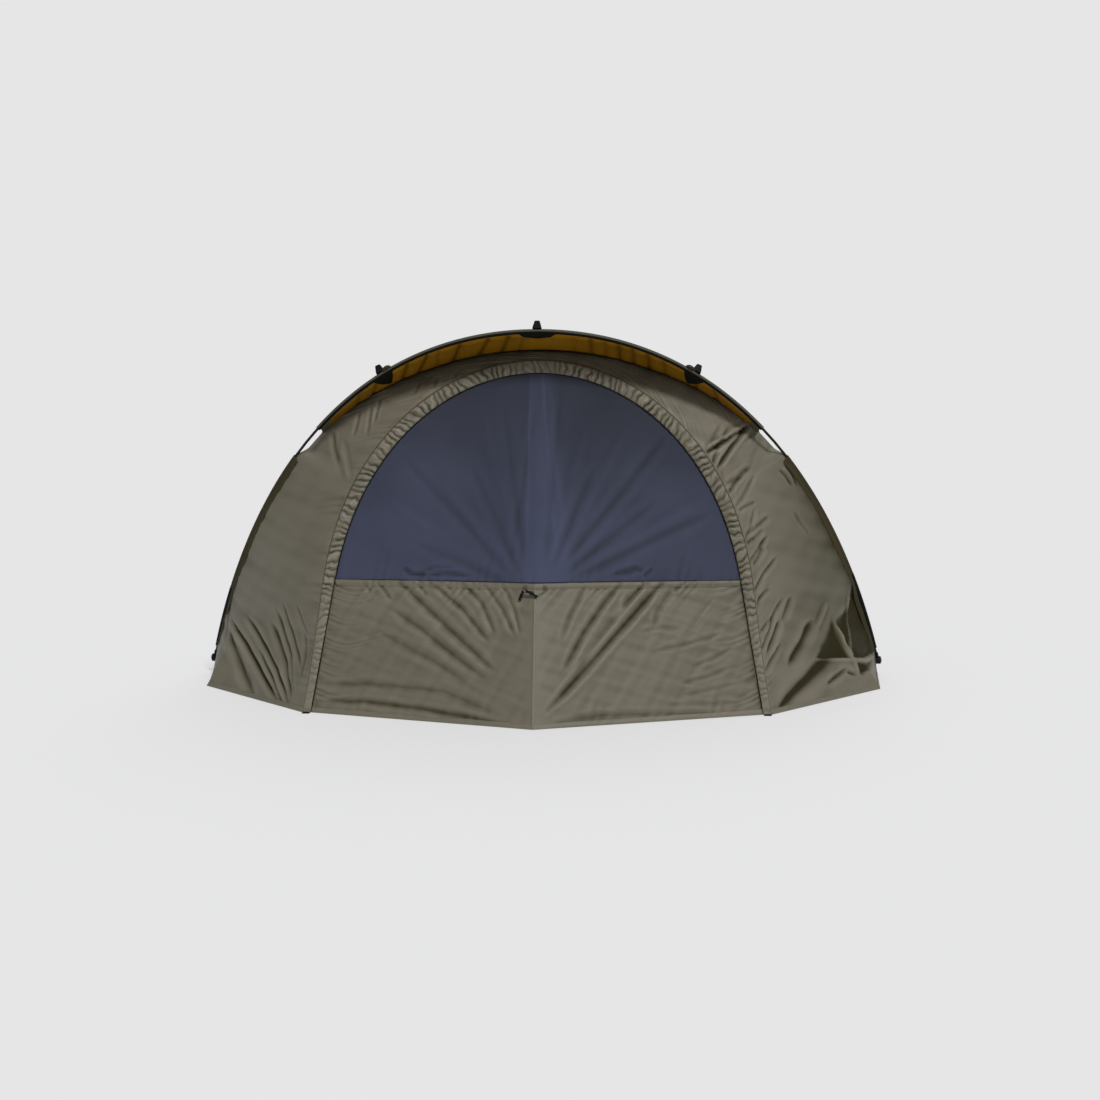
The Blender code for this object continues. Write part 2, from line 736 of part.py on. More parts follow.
def make_zip(side, name):
    """Half of the zip along the sill, with its slider and its pull."""
    inner = ridge(DOOR_SILL)
    outer = door_plane(Vector((side * DOOR_SILL_HALF, DOOR_SILL)))
    along = (outer - inner).normalized()
    away = facing(along.cross(ridge(0) - inner), FRONT).normalized()
    down = facing(along.cross(away), -UP).normalized()
    frame = place(along, down, away, inner)
    length = (outer - inner).length - ZIP_WIDTH
    base = CLOTH / 2 + ZIP_STAND
    coil = box(
        "sill_zip" if side < 0 else "sill_zip_half",
        (length + ZIP_LAP, ZIP_WIDTH, ZIP_HEIGHT),
        ((length - ZIP_LAP) / 2, ZIP_WIDTH / 2, base + ZIP_HEIGHT / 2),
        BLACK, frame)
    seat = base + ZIP_HEIGHT + GAP
    slider = box(
        f"zip_slider_{name}", (SLIDER_LENGTH, SLIDER_WIDTH, SLIDER_HEIGHT),
        (SLIDER_START, ZIP_WIDTH / 2, seat + SLIDER_HEIGHT / 2), BLACK, frame)
    soften(slider, SLIDER_EDGE)
    edge = ZIP_WIDTH / 2 + SLIDER_WIDTH / 2
    pin_y = edge + math.hypot(PULL_EYE, PULL_HEIGHT / 2) + 2 * GAP
    pin_z = seat + PULL_HEIGHT / 2
    ears_end = pin_y + 2 * PULL_PIN_RADIUS
    ears_size = (SLIDER_LENGTH - 2 * GAP, ears_end - ZIP_WIDTH / 2, PULL_HEIGHT - 2 * GAP)
    ears_centre = (SLIDER_START, (ears_end + ZIP_WIDTH / 2) / 2, pin_z)
    join(slider, box(f"slider_ears_{name}", ears_size, ears_centre, None, frame))
    slot_size = (PULL_WIDTH + 2 * GAP, ears_end - edge + OVERRUN, SLIDER_HEIGHT + OVERRUN)
    slot_y = edge + GAP + slot_size[1] / 2
    cut(slider, box(f"slider_slot_{name}", slot_size, (SLIDER_START, slot_y, pin_z), None, frame))
    pivot = frame @ Vector((SLIDER_START, pin_y, pin_z))
    pin_end = along * (SLIDER_LENGTH / 2 - 2 * GAP)
    join(slider, rod(f"slider_pin_{name}", pivot - pin_end, pivot + pin_end, PULL_PIN_RADIUS, sides=8))
    pull = box(
        f"zip_pull_{name}", (PULL_WIDTH, PULL_LENGTH, PULL_HEIGHT),
        (SLIDER_START, pin_y - PULL_EYE + PULL_LENGTH / 2, pin_z), BLACK, frame)
    soften(pull, PULL_EDGE)
    bore_end = along * PULL_WIDTH
    cut(pull, rod(f"pull_bore_{name}", pivot - bore_end, pivot + bore_end, PULL_PIN_RADIUS + GAP, sides=8))
    travel = length - SLIDER_START - SLIDER_LENGTH
    print(f"zip {name}: along {tuple(along)}, travel {travel}, pull pivot {tuple(pivot)}")
    return coil


def make_front():
    coils = []
    for side, name in SIDES:
        make_wing(side, name)
        make_ruffle(side, name)
        make_door(side, name)
        coils.append(make_zip(side, name))
    join(*coils)


def make_back_wall():
    """The rear wall, with a netted vent in its centre gore and a rain hood over the vent."""
    centre = gores("back_wall", back_wall, WALL_ROWS)["centre"]
    low, high = back_wall(0, VENT_LOW_SHARE).z, back_wall(0, VENT_HIGH_SHARE).z
    reach = arc(*BACK_SIZES, VENT_HALF_SHARE).x
    bm = bmesh.new()
    bm.from_mesh(centre.data)
    gone = []
    for face in bm.faces:
        middle_point = face.calc_center_median()
        if low < middle_point.z < high and abs(middle_point.x) < reach:
            gone.append(face)
    bmesh.ops.delete(bm, geom=gone, context="FACES")
    bm.to_mesh(centre.data)
    bm.free()
    opening = places_between(-VENT_HALF_SHARE, VENT_HALF_SHARE)
    lapped = steps(VENT_HIGH_SHARE - VENT_LAP_SHARE, VENT_LOW_SHARE + VENT_LAP_SHARE, 2)

    def off_wall(s, v, distance):
        return back_wall(s, v) + facing(normal_at(back_wall, s, v), REARWARD) * distance

    def inside(s, v):
        return off_wall(s, v, -(CLOTH + GAP))

    def awning(s, v):
        top = off_wall(s, VENT_HOOD_TOP_SHARE, CLOTH + GAP)
        return top.lerp(off_wall(s, VENT_HOOD_LOW_SHARE, VENT_HOOD_STAND), v)

    sheet("vent_netting", opening, lapped, inside, NETTING)
    sheet("vent_hood", opening, steps(0, 1, 2), awning, OLIVE)


def make_groundsheet():
    """A flat floor sheet inside the walls, sewn in along the rear wall."""
    block_side = REAR_HALF - BLOCK_FOOT_WIDTH
    front = [
        Vector((0, PROW_Y)),
        Vector((DOOR_FOOT_HALF - DOOR_SIDE_PLAY, DOOR_FOOT_Y)),
        Vector((CORNER_HALF, CORNER_Y)),
        Vector((block_side, HUB_Y - BLOCK_FOOT_LENGTH / 2)),
        Vector((block_side, HUB_Y + BLOCK_FOOT_LENGTH / 2)),
    ]
    half = [p - p.normalized() * SHEET_INSET for p in front]
    half += [tail(s, SHEET_SEAM).xy for s in reversed(HALF_PLACES)]
    loop = half + [Vector((-p.x, p.y)) for p in reversed(half[1:-1])]
    curve = bpy.data.curves.new("groundsheet", "CURVE")
    curve.dimensions = "2D"
    curve.fill_mode = "BOTH"
    curve.extrude = CLOTH / 2
    line = curve.splines.new("POLY")
    line.points.add(len(loop) - 1)
    for point, corner in zip(line.points, loop):
        point.co = (corner.x, corner.y, 0, 1)
    line.use_cyclic_u = True
    made = add("groundsheet", curve, SHEETING)
    made.location = (0, 0, CLOTH / 2)


def make_socket(owner, label, sizes, lean, side):
    """The tube that holds a pole's end, pointing along the pole from the hub axis."""
    start = rib(sizes, lean, side)
    end = rib(sizes, lean, side * end_share(sizes))
    join(owner, rod(f"{owner.name}_{label}", start, beside(end, start, GAP), SOCKET_RADIUS, sides=12))


def make_hub(side, name):
    """A hub block on the ground, the two turning knuckles beside it, and the rivet through all three."""

    def on_axis(x):
        return Vector((side * x, HUB_Y, HUB_Z))

    middle_end = MIDDLE_HALF + EYE_WIDTH / 2
    hoop_end = HOOP_HALF + EYE_WIDTH / 2
    outer = REAR_HALF + BLOCK_PROUD
    inner = outer - BLOCK_WIDTH
    centre = side * (inner + outer) / 2
    block = rod(f"hub_block_{name}", on_axis(inner), on_axis(outer), BLOCK_RADIUS, BLACK, 24)
    stem_size = (BLOCK_WIDTH, BLOCK_STEM_LENGTH, HUB_Z - BLOCK_FOOT_HEIGHT)
    join(block, box(f"hub_stem_{name}", stem_size, (centre, HUB_Y, (HUB_Z + BLOCK_FOOT_HEIGHT) / 2)))
    foot_size = (BLOCK_FOOT_WIDTH, BLOCK_FOOT_LENGTH, BLOCK_FOOT_HEIGHT)
    join(block, box(f"hub_foot_{name}", foot_size, (centre, HUB_Y, BLOCK_FOOT_HEIGHT / 2)))
    boss_end = MIDDLE_HALF - EYE_WIDTH / 2 - GAP
    join(block, rod(f"hub_boss_{name}", on_axis(inner + BLOCK_PROUD), on_axis(boss_end), BOSS_RADIUS))
    make_socket(block, "rear_socket", REAR_SIZES, REAR_LEAN, side)
    make_socket(block, "back_socket", BACK_SIZES, BACK_LEAN, side)
    bore_radius = RIVET_DIAMETER / 2 + RIVET_PLAY
    bore = rod(f"hub_bore_{name}", on_axis(inner - OVERRUN), on_axis(hoop_end + OVERRUN), bore_radius)
    cut(block, bore)
    for label, sizes, lean in (("middle", MIDDLE_SIZES, MIDDLE_LEAN), ("hoop", HOOP_SIZES, HOOP_LEAN)):
        low, high = sizes[0] - EYE_WIDTH / 2, sizes[0] + EYE_WIDTH / 2
        knuckle = rod(f"{label}_knuckle_{name}", on_axis(low), on_axis(high), EYE_RADIUS, BLACK, 20)
        make_socket(knuckle, "socket", sizes, lean, side)
        cut(knuckle, bore)
    tip, tail_end = hoop_end + GAP, inner - GAP
    rivet = rod(f"pivot_rivet_{name}", on_axis(tail_end), on_axis(tip), RIVET_DIAMETER / 2, STEEL, 12)
    heads = (("outer", tip, tip + RIVET_HEAD_HEIGHT), ("inner", tail_end - RIVET_HEAD_HEIGHT, tail_end))
    for label, low, high in heads:
        join(rivet, rod(f"rivet_{label}_head_{name}", on_axis(low), on_axis(high), RIVET_HEAD_RADIUS))


def make_bar(s, name):
    """A bar that braces the hoop off the middle rib, pinned to a clip and capped where it hooks the hoop."""
    seat_front, seat_rear = hoop(s), middle(s)
    along_hoop = (hoop(s + TANGENT_SHARE) - hoop(s - TANGENT_SHARE)).normalized()
    off = facing(along_hoop.cross(seat_front - seat_rear), UP).normalized()
    front, pivot = seat_front + off * BAR_FRONT_LIFT, seat_rear + off * BAR_REAR_LIFT
    ahead = (front - pivot).normalized()
    across = off.cross(ahead).normalized() * -1
    off = across.cross(ahead).normalized()
    frame = place(across, ahead, off, pivot)
    length = (front - pivot).length + BAR_REACH
    eye_width = CLIP_WIDTH - 2 * (CLIP_EAR + GAP)

    def crosswise(x):
        return pivot + across * x

    bar = rod(
        f"tension_bar_{name}", pivot + ahead * BAR_EYE_RADIUS / 2, pivot + ahead * (length - CAP_LENGTH),
        BAR_DIAMETER / 2, SLEEVE, 12)
    join(bar, rod(f"bar_eye_{name}", crosswise(-eye_width / 2), crosswise(eye_width / 2), BAR_EYE_RADIUS))
    bore_radius = PIN_DIAMETER / 2 + GAP
    cut(bar, rod(f"bar_bore_{name}", crosswise(-CLIP_WIDTH), crosswise(CLIP_WIDTH), bore_radius))

    seat = SLEEVE_RADIUS + GAP - BAR_FRONT_LIFT
    middle_y = length - CAP_LENGTH / 2
    taper = CAP_TOP_WIDTH / CAP_WIDTH
    bm = bmesh.new()
    bmesh.ops.create_cube(bm, size=1)
    for vert in bm.verts:
        share = taper if vert.co.z > 0 else 1
        vert.co.x *= CAP_WIDTH * share
        vert.co.y = middle_y + vert.co.y * (CAP_LENGTH - 2 * GAP) * share
        vert.co.z = seat + (vert.co.z + 1 / 2) * CAP_HEIGHT
    bmesh.ops.transform(bm, matrix=frame, verts=bm.verts)
    cap = add(f"bar_cap_{name}", mesh_of(bm, "cap"), BLACK)
    soften(cap, CAP_EDGE, 2)

    base = CLOTH / 2 + GAP - BAR_REAR_LIFT
    height = BAR_EYE_RADIUS - base
    clip = box(f"bar_clip_{name}", (CLIP_WIDTH, CLIP_LENGTH, height), (0, 0, base + height / 2), BLACK, frame)
    slot_size = (CLIP_WIDTH - 2 * CLIP_EAR, CLIP_LENGTH + OVERRUN, height)
    cut(clip, box(f"clip_slot_{name}", slot_size, (0, 0, base + CLIP_PLATE + height / 2), None, frame))
    pin_end = CLIP_WIDTH / 2 + GAP
    join(clip, rod(f"clip_pin_{name}", crosswise(-pin_end), crosswise(pin_end), PIN_DIAMETER / 2, sides=12))
    print(f"bar {name}: pivot {tuple(pivot)}, axis {tuple(across)}")


def make_peg_loop(name, near, far, size, outward):
    """A webbing peg loop that lies flat on the ground outside the hem, with an eyelet for the peg."""
    along = Vector((far.x - near.x, far.y - near.y, 0)).normalized()
    away = facing(Vector((along.y, -along.x, 0)), outward)
    width, length = size
    edge = near.lerp(far, LOOP_EDGE_SHARE)
    start = Vector((edge.x, edge.y, 0)) + away * (CLOTH / 2 + GAP)
    frame = place(Vector((away.y, -away.x, 0)), away, UP, start)
    strap = box(name, (width, length, LOOP_HEIGHT), (0, length / 2, LOOP_HEIGHT / 2), BLACK, frame)
    hole = start + away * (length - width / 2)
    cut(strap, rod(name + "_hole", hole - UP * OVERRUN, hole + UP * OVERRUN, LOOP_HOLE / 2, sides=12))


def make_loops():
    """Peg loops on the hem: two on the rear wall, and a short one at each foot of the gathered band."""
    later = next(i for i, s in enumerate(HALF_PLACES) if s > LOOP_SHARE)
    near_s, far_s = HALF_PLACES[later - 1], HALF_PLACES[later]
    for side, name in SIDES:
        near, far = tail(side * near_s), tail(side * far_s)
        make_peg_loop(f"peg_loop_rear_{name}", near, far, (LOOP_WIDTH, LOOP_LENGTH), REARWARD)
        near = door_plane(Vector((side * ARCH_POINTS[0].x, 0)))
        far = door_plane(Vector((side * BAND_POINTS[0].x, 0)))
        make_peg_loop(f"peg_loop_front_{name}", near, far, (FRONT_LOOP_WIDTH, FRONT_LOOP_LENGTH), FRONT)


make_frame()
make_roof()
make_brow()
make_front()
make_back_wall()
make_groundsheet()
for hub_side, hub_name in SIDES:
    make_hub(hub_side, hub_name)
for bar_place, bar_name in ((-BAR_SHARE, "left"), (0.0, "centre"), (BAR_SHARE, "right")):
    make_bar(bar_place, bar_name)
make_loops()
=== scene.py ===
"""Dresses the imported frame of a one-man bivvy tent in creased cloth, gathers, netting, sleeves and a zip.

Lengths are in metres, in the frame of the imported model: X across, -Y to the front, Z up.
"""

import math

import bmesh
import bpy
import numpy as np
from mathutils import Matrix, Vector


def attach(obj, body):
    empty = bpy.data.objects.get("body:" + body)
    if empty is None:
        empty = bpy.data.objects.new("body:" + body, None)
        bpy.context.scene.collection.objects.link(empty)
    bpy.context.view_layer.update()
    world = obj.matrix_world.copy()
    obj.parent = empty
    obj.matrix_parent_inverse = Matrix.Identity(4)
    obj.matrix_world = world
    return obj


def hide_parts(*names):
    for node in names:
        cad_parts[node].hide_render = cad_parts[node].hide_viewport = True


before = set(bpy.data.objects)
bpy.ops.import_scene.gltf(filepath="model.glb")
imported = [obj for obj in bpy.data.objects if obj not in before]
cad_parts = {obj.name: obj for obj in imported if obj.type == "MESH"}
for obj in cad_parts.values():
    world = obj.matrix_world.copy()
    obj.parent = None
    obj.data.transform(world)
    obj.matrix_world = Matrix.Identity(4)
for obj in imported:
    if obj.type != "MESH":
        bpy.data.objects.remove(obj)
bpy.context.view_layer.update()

bl_info = {
    "name": "Bivvy Tent Dressing",
    "version": (1, 0, 0),
    "blender": (4, 5, 0),
    "location": "3D View > Sidebar > Bivvy",
    "description": "Dresses the packed frame of a bivvy tent with cloth, netting, tapes and fittings",
    "category": "Object",
}

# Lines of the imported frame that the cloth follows
HUB_Y = 0.129
HUB_Z = 0.060
PROW_Y = -1.087
HOOP_SIZES = (1.369, 1.511)
MIDDLE_SIZES = (1.345, 1.130)
REAR_SIZES = (1.321, 1.010)
BACK_SIZES = (1.321, 0.985)
TAIL_SIZES = (1.311, 0.958)
HOOP_LEAN = math.radians(31.75)
MIDDLE_LEAN = math.radians(6.7)
TRAIL_LEAN = math.radians(-17.5)
REAR_LEAN = math.radians(-13.5)
BACK_LEAN = math.radians(-52.0)
RIB_LIFT = 0.0074
TRAIL_LIFT = 0.0214
CROWN_PULL = 0.543
SHOULDER_OUT = 0.843
SHOULDER_UP = 0.495
GAP_TOP = 0.455
GAP_BOTTOM = 0.528
FOOT = 0.970
BROW_SHARE = 0.33
SCALLOP_SHARE = 0.14
BROW_FLAT = 0.15
SLEEVE_CLEAR = 0.0074
EDGE_CLEAR = 0.0022
DOOR_FOOT_Y = -0.790
DOOR_TOP_Y = -0.510
DOOR_TOP_Z = 1.203
DOOR_FOOT_HALF = 0.798
DOOR_SILL_HALF = 0.725
DOOR_SILL = 0.470
DOOR_ARCH_RISE = 0.513
DOOR_ARCH_PULL = 0.305
DOOR_SLOPE = math.hypot(DOOR_TOP_Z, DOOR_TOP_Y - DOOR_FOOT_Y)
SILL_SHARE = 0.3
BAND_FOOT_WIDTH = 0.028
BAND_TOP_WIDTH = 0.050
CORNER = Vector((1.311, -0.231, 0))
HEEL = Vector((1.360, 0.079, 0))
CORNER_SHARE = 0.75
FLARE_ROWS = 5
ARCH_ROWS = 20
BAR_PLACE = 0.290
GORE_PLACE = 0.3033
VENT_HALF = 0.1517
STEP = 0.001
INSIDE = Vector((0, 0, 0.3))
UP = Vector((0, 0, 1))
SIDES = ((-1, "left"), (1, "right"))
THREE = ("left", "centre", "right")

# Finishes that many pieces share
OXFORD = "coated_polyester_oxford"
COATED_BACK = "polyurethane_coated_back"
LINED_OXFORD = (OXFORD, COATED_BACK)
WEBBING = "polyester_webbing_tape"
NETTING = "knitted_mosquito_netting"
BLACK_CLOTH = "dark_reinforcing_cloth"

# How far the sewn details stand off the cloth, and the netting's thickness
SEAM_HEIGHT = 0.0011
TAPE_HEIGHT = 0.0012
HEM_HEIGHT = 0.0014
NET_THICKNESS = 0.0008


def steps(low, high, count):
    """Evenly spaced values from low to high, with both ends."""
    return [low + (high - low) * i / count for i in range(count + 1)]


def both_ways(half):
    """Places from 0 outwards, carried over to the other side too."""
    return [-s for s in reversed(half[1:])] + half


HALF_PLACES = steps(0, GAP_TOP, 9)[:-1] + steps(GAP_TOP, GAP_BOTTOM, 2)[:-1] + steps(GAP_BOTTOM, FOOT, 9)


def srgb(text):
    """A hex colour as linear red, green, blue and alpha."""
    channels = [int(text[i:i + 2], 16) / 255 for i in (0, 2, 4)]
    return tuple(c / 12.92 if c <= 0.04045 else ((c + 0.055) / 1.055) ** 2.4 for c in channels) + (1.0,)


def colour_property(name, text, description):
    return bpy.props.FloatVectorProperty(
        name=name, description=description, subtype="COLOR", size=4, min=0, max=1, default=srgb(text))


def length_property(name, value, description):
    return bpy.props.FloatProperty(
        name=name, description=description, default=value, min=0.0, unit="LENGTH", precision=4)


class BivvySizes(bpy.types.PropertyGroup):
    """Sizes of the sewn details."""
    cloth: length_property("Cloth", 0.0012, "Thickness of the coated cloth, drawn as the frame has it")
    sleeve_radius: length_property("Sleeve radius", 0.0078, "Outside radius of the pole sleeves")
    sleeve_flange: length_property(
        "Sleeve flange", 0.030, "Reach of a side sleeve over the wall, from the pole")
    brow_flange: length_property(
        "Brow flange", 0.020, "Reach of the brow sleeve over the roof, from the pole")
    seam_width: length_property("Seam width", 0.012, "Width of the flat felled seams")
    hem_width: length_property("Hem width", 0.018, "Width of the hems on the ground")
    binding_width: length_property("Binding width", 0.012, "Width of the tape that binds the free edges")
    piping: length_property("Piping", 0.0028, "Diameter of the piping along the gathered band")
    gather_pitch: length_property("Gather pitch", 0.026, "Mean distance between the gathers of the band")
    gather_fullness: bpy.props.FloatProperty(
        name="Gather fullness", default=1.6, min=1.0, max=3.0,
        description="Length of the gathered strip before it is drawn up, over its length after")
    gather_depth: length_property("Gather depth", 0.0150, "Depth of the gathers of the band")
    thread: length_property("Thread", 0.0024, "Spacing at which the weave is drawn")
    mesh: length_property("Mesh", 0.0030, "Spacing at which the netting is drawn")


class BivvyColours(bpy.types.PropertyGroup):
    """Colours of the finishes."""
    olive: colour_property("Olive", "6c6759", "Outside of the coated polyester")
    amber: colour_property("Amber", "825a05", "Polyurethane coating on the inside of the roof")
    netting: colour_property("Netting", "3e4256", "Fine knitted netting")
    webbing: colour_property("Webbing", "393320", "Pole sleeves and binding tapes")
    sleeve: colour_property("Brow sleeve", "4f4c42", "Cloth of the brow sleeve")
    patch: colour_property("Patch", "12110b", "Dark reinforcing patches under the brow")
    nylon: colour_property("Nylon", "0b0b0e", "Moulded nylon fittings and zip")
    fibre: colour_property("Fibre", "141310", "Pultruded glass fibre poles")
    groundsheet: colour_property("Groundsheet", "2c2f28", "Heavy coated floor sheet")
    floor: colour_property("Floor", "e6e6e6", "Studio floor and backdrop")


def sizes():
    return bpy.context.scene.bivvy_sizes


def colours():
    return bpy.context.scene.bivvy_colours


# Curves of the frame

def cubic(points, t):
    """A point on the cubic curve with these four controls."""
    a, b, c, d = points
    return a * (1 - t) ** 3 + b * 3 * (1 - t) ** 2 * t + c * 3 * (1 - t) * t ** 2 + d * t ** 3


def arc(half, radius, s):
    """Across and outward place on an arc; s runs from -1 at the left foot to 1 at the right one."""
    t = abs(s)
    x = 3 * (1 - t) ** 2 * t * CROWN_PULL * half + 3 * (1 - t) * t * t * SHOULDER_OUT * half + t ** 3 * half
    y = ((1 - t) ** 3 + 3 * (1 - t) ** 2 * t + 3 * (1 - t) * t * t * SHOULDER_UP) * radius
    return math.copysign(x, s), y


def rib(shape, lean, s, lift=0.0):
    """A point of an arc that leans forward about the hub axis, lifted off it by that much."""
    x, y = arc(shape[0] + lift, shape[1] + lift, s)
    return Vector((x, HUB_Y - y * math.sin(lean), HUB_Z + y * math.cos(lean)))


def hoop(s):
    return rib(HOOP_SIZES, HOOP_LEAN, s)


def middle(s):
    return rib(MIDDLE_SIZES, MIDDLE_LEAN, s, RIB_LIFT)


def trail(s):
    return rib((MIDDLE_SIZES[0] + RIB_LIFT, REAR_SIZES[1] + TRAIL_LIFT), TRAIL_LEAN, s)


def rear(s):
    return rib(REAR_SIZES, REAR_LEAN, s, RIB_LIFT)


def back(s):
    return rib(BACK_SIZES, BACK_LEAN, s, RIB_LIFT)


def tail(s):
    x, y = arc(*TAIL_SIZES, s)
    return Vector((x, HUB_Y + y, sizes().cloth / 2))


def ease(t):
    t = min(max(t, 0.0), 1.0)
    return t * t * (3 - 2 * t)


def eased(t):
    """The same soft step over an array."""
    t = np.clip(t, 0.0, 1.0)
    return t * t * (3 - 2 * t)


def brow_share(s):
    """How far behind the hoop the front wall meets the roof."""
    s = abs(s)
    if s >= GAP_BOTTOM:
        return 0.0
    if s >= GAP_TOP:
        return SCALLOP_SHARE * ease((GAP_BOTTOM - s) / ((GAP_BOTTOM - GAP_TOP) / 2))
    return SCALLOP_SHARE + (BROW_SHARE - SCALLOP_SHARE) * ease((GAP_TOP - s) / (GAP_TOP - BROW_FLAT))


def wall_line(s):
    return hoop(s).lerp(middle(s), brow_share(s))


def hoop_run(s):
    """The way the hoop runs at s."""
    return (hoop(s + STEP) - hoop(s - STEP)).normalized()


def sleeve_edge(s):
    """The point that stands off the hoop by its sleeve, on the way to the middle rib."""
    start = hoop(s)
    ahead = (middle(s) - start).normalized()
    return start + ahead * SLEEVE_CLEAR / ahead.cross(hoop_run(s)).length


def under_brow(s, share):
    """A point of the brow, from its sleeve at 0 to the wall's seam at 1."""
    return sleeve_edge(s).lerp(wall_line(s), share)


def on_hoop(s, target, outward):
    """A station on the hoop: the way across it to the target, and the way off it on the outward side."""
    start = hoop(s)
    towards = (target - start).normalized()
    out = towards.cross(hoop_run(s)).normalized()
    if out.dot(outward) < 0:
        out = -out
    across = out.cross(hoop_run(s)).normalized()
    if across.dot(towards) < 0:
        across = -across
    return start, across, out


def bite_share(s):
    """How far the roof's own front edge draws back from the hoop, beside the bare stretch of pole."""
    s = abs(s)
    if s < GAP_TOP:
        return SCALLOP_SHARE * ease((s - GAP_TOP) / 0.010 + 1)
    return brow_share(s)


def door_plane(x, rise):
    """A point on the leaning plane of the door arch, given across it and up its slope."""
    share = rise / DOOR_SLOPE
    return Vector((x, DOOR_FOOT_Y + (DOOR_TOP_Y - DOOR_FOOT_Y) * share, DOOR_TOP_Z * share))


def arch(t):
    """Half the door arch in its plane, from 0 at the ground to 1 at the crown."""
    foot, sill = Vector((DOOR_FOOT_HALF, 0)), Vector((DOOR_SILL_HALF, DOOR_SILL))
    if t <= SILL_SHARE:
        return foot.lerp(sill, t / SILL_SHARE)
    taper = (DOOR_FOOT_HALF - DOOR_SILL_HALF) / DOOR_SILL
    shoulder = sill + Vector((-taper, 1)) * DOOR_ARCH_RISE
    controls = [sill, shoulder, Vector((DOOR_ARCH_PULL, DOOR_SLOPE)), Vector((0, DOOR_SLOPE))]
    return cubic(controls, (t - SILL_SHARE) / (1 - SILL_SHARE))


def band_edge(t):
    """The outer edge of the gathered band, which runs round the door arch."""
    along = (arch(min(t + STEP, 1)) - arch(max(t - STEP, 0))).normalized()
    width = BAND_FOOT_WIDTH + (BAND_TOP_WIDTH - BAND_FOOT_WIDTH) * ease(t * 2)
    flat = arch(t) + Vector((along.y, -along.x)) * width
    if t <= 0:
        flat.y = 0
    if t >= 1:
        flat.x = 0
    return flat


def ridge(rise):
    """A point on the centre line of the door."""
    return Vector((0, PROW_Y, 0)).lerp(Vector((0, DOOR_TOP_Y, DOOR_TOP_Z)), rise / DOOR_SLOPE)


def mirrored(point, side):
    return Vector((point.x * side, point.y, point.z))


# Cloth

# Rounds of smoothing for the near and the wide comparison of hollows, and the depth that each counts as 1
NEAR_ROUNDS = 12
WIDE_ROUNDS = 90
NEAR_DEPTH = 0.0065
WIDE_DEPTH = 0.011


class Cloth:
    """A grid of points on a surface, with its normals and its distances in metres from its four edges.

    s and v hold each point's two places on the surface, and x and z where it lies before any fold is raised.
    """

    def __init__(self, surface, across, along):
        self.across, self.along = list(across), list(along)
        self.s, self.v = np.meshgrid(self.across, self.along)
        self.p = np.array([[surface(a, b) for a in self.across] for b in self.along], float)
        self.x, self.z = self.p[..., 0], self.p[..., 2]
        # tone holds painted shade, below 0, and painted light, above 0, that the finish lays on the cloth
        self.raised, self.tone = np.zeros(self.p.shape[:2]), np.zeros(self.p.shape[:2])
        self.measure()

    def measure(self):
        du, dv = np.gradient(self.p, axis=1), np.gradient(self.p, axis=0)
        n = np.cross(du, dv)
        n /= np.maximum(np.linalg.norm(n, axis=2, keepdims=True), 1e-12)
        away = self.p - np.array(INSIDE)
        if (n * away).sum() < 0:
            n = -n
        self.n = n
        u = np.linalg.norm(np.diff(self.p, axis=1), axis=2)
        v = np.linalg.norm(np.diff(self.p, axis=0), axis=2)
        self.left = np.pad(np.cumsum(u, axis=1), ((0, 0), (1, 0)))
        self.low = np.pad(np.cumsum(v, axis=0), ((1, 0), (0, 0)))
        self.right = self.left[:, -1:] - self.left
        self.high = self.low[-1:, :] - self.low
        inner = np.cross(self.p[1:, :-1] - self.p[:-1, :-1], self.p[:-1, 1:] - self.p[:-1, :-1])
        outer = np.cross(self.p[1:, :-1] - self.p[1:, 1:], self.p[:-1, 1:] - self.p[1:, 1:])
        self.area = float((np.linalg.norm(inner, axis=2) + np.linalg.norm(outer, axis=2)).sum() / 2)
        self.flat = (float(self.left[:, -1].max()), float(self.low[-1].max()))

    def raise_by(self, height):
        """Moves each point off the smooth surface along its normal."""
        height = np.broadcast_to(height, self.tone.shape)
        self.raised = self.raised + height
        self.p = self.p + self.n * height[..., None]
        refreshed = np.cross(np.gradient(self.p, axis=1), np.gradient(self.p, axis=0))
        refreshed /= np.maximum(np.linalg.norm(refreshed, axis=2, keepdims=True), 1e-12)
        flip = np.sign((refreshed * self.n).sum())
        self.n = refreshed * flip

    def lay_on_ground(self):
        """Lifts any point that a fold has pushed into the ground."""
        self.p[..., 2] = np.maximum(self.p[..., 2], sizes().cloth / 2)

    def hollows(self):
        """How deep each point lies in a fold, below 0, or how high on one, above 0.

        The folds are compared with a copy smoothed a little, and then with one smoothed over a wide reach,
        and the painted tone is added; the finish paints shade and light from the result.
        """
        soft = self.raised
        total = np.array(self.tone)
        for step in range(WIDE_ROUNDS):
            wide = np.pad(soft, 1, mode="edge")
            beside = wide[:-2, 1:-1] + wide[2:, 1:-1] + wide[1:-1, :-2] + wide[1:-1, 2:]
            soft = (wide[1:-1, 1:-1] * 2 + beside) / 6
            if step == NEAR_ROUNDS:
                total += (self.raised - soft) / NEAR_DEPTH
        return np.clip(total + np.minimum(self.raised - soft, 0) / WIDE_DEPTH, -2, 1)

    def at(self, row, column):
        """A point and its normal between grid points."""
        rows, columns = self.p.shape[:2]
        j = min(max(int(row), 0), rows - 2)
        i = min(max(int(column), 0), columns - 2)
        b, a = row - j, column - i

        def mixed(grid):
            low = grid[j, i] * (1 - a) + grid[j, i + 1] * a
            high = grid[j + 1, i] * (1 - a) + grid[j + 1, i + 1] * a
            return Vector(low * (1 - b) + high * b)
        return mixed(self.p), mixed(self.n).normalized()


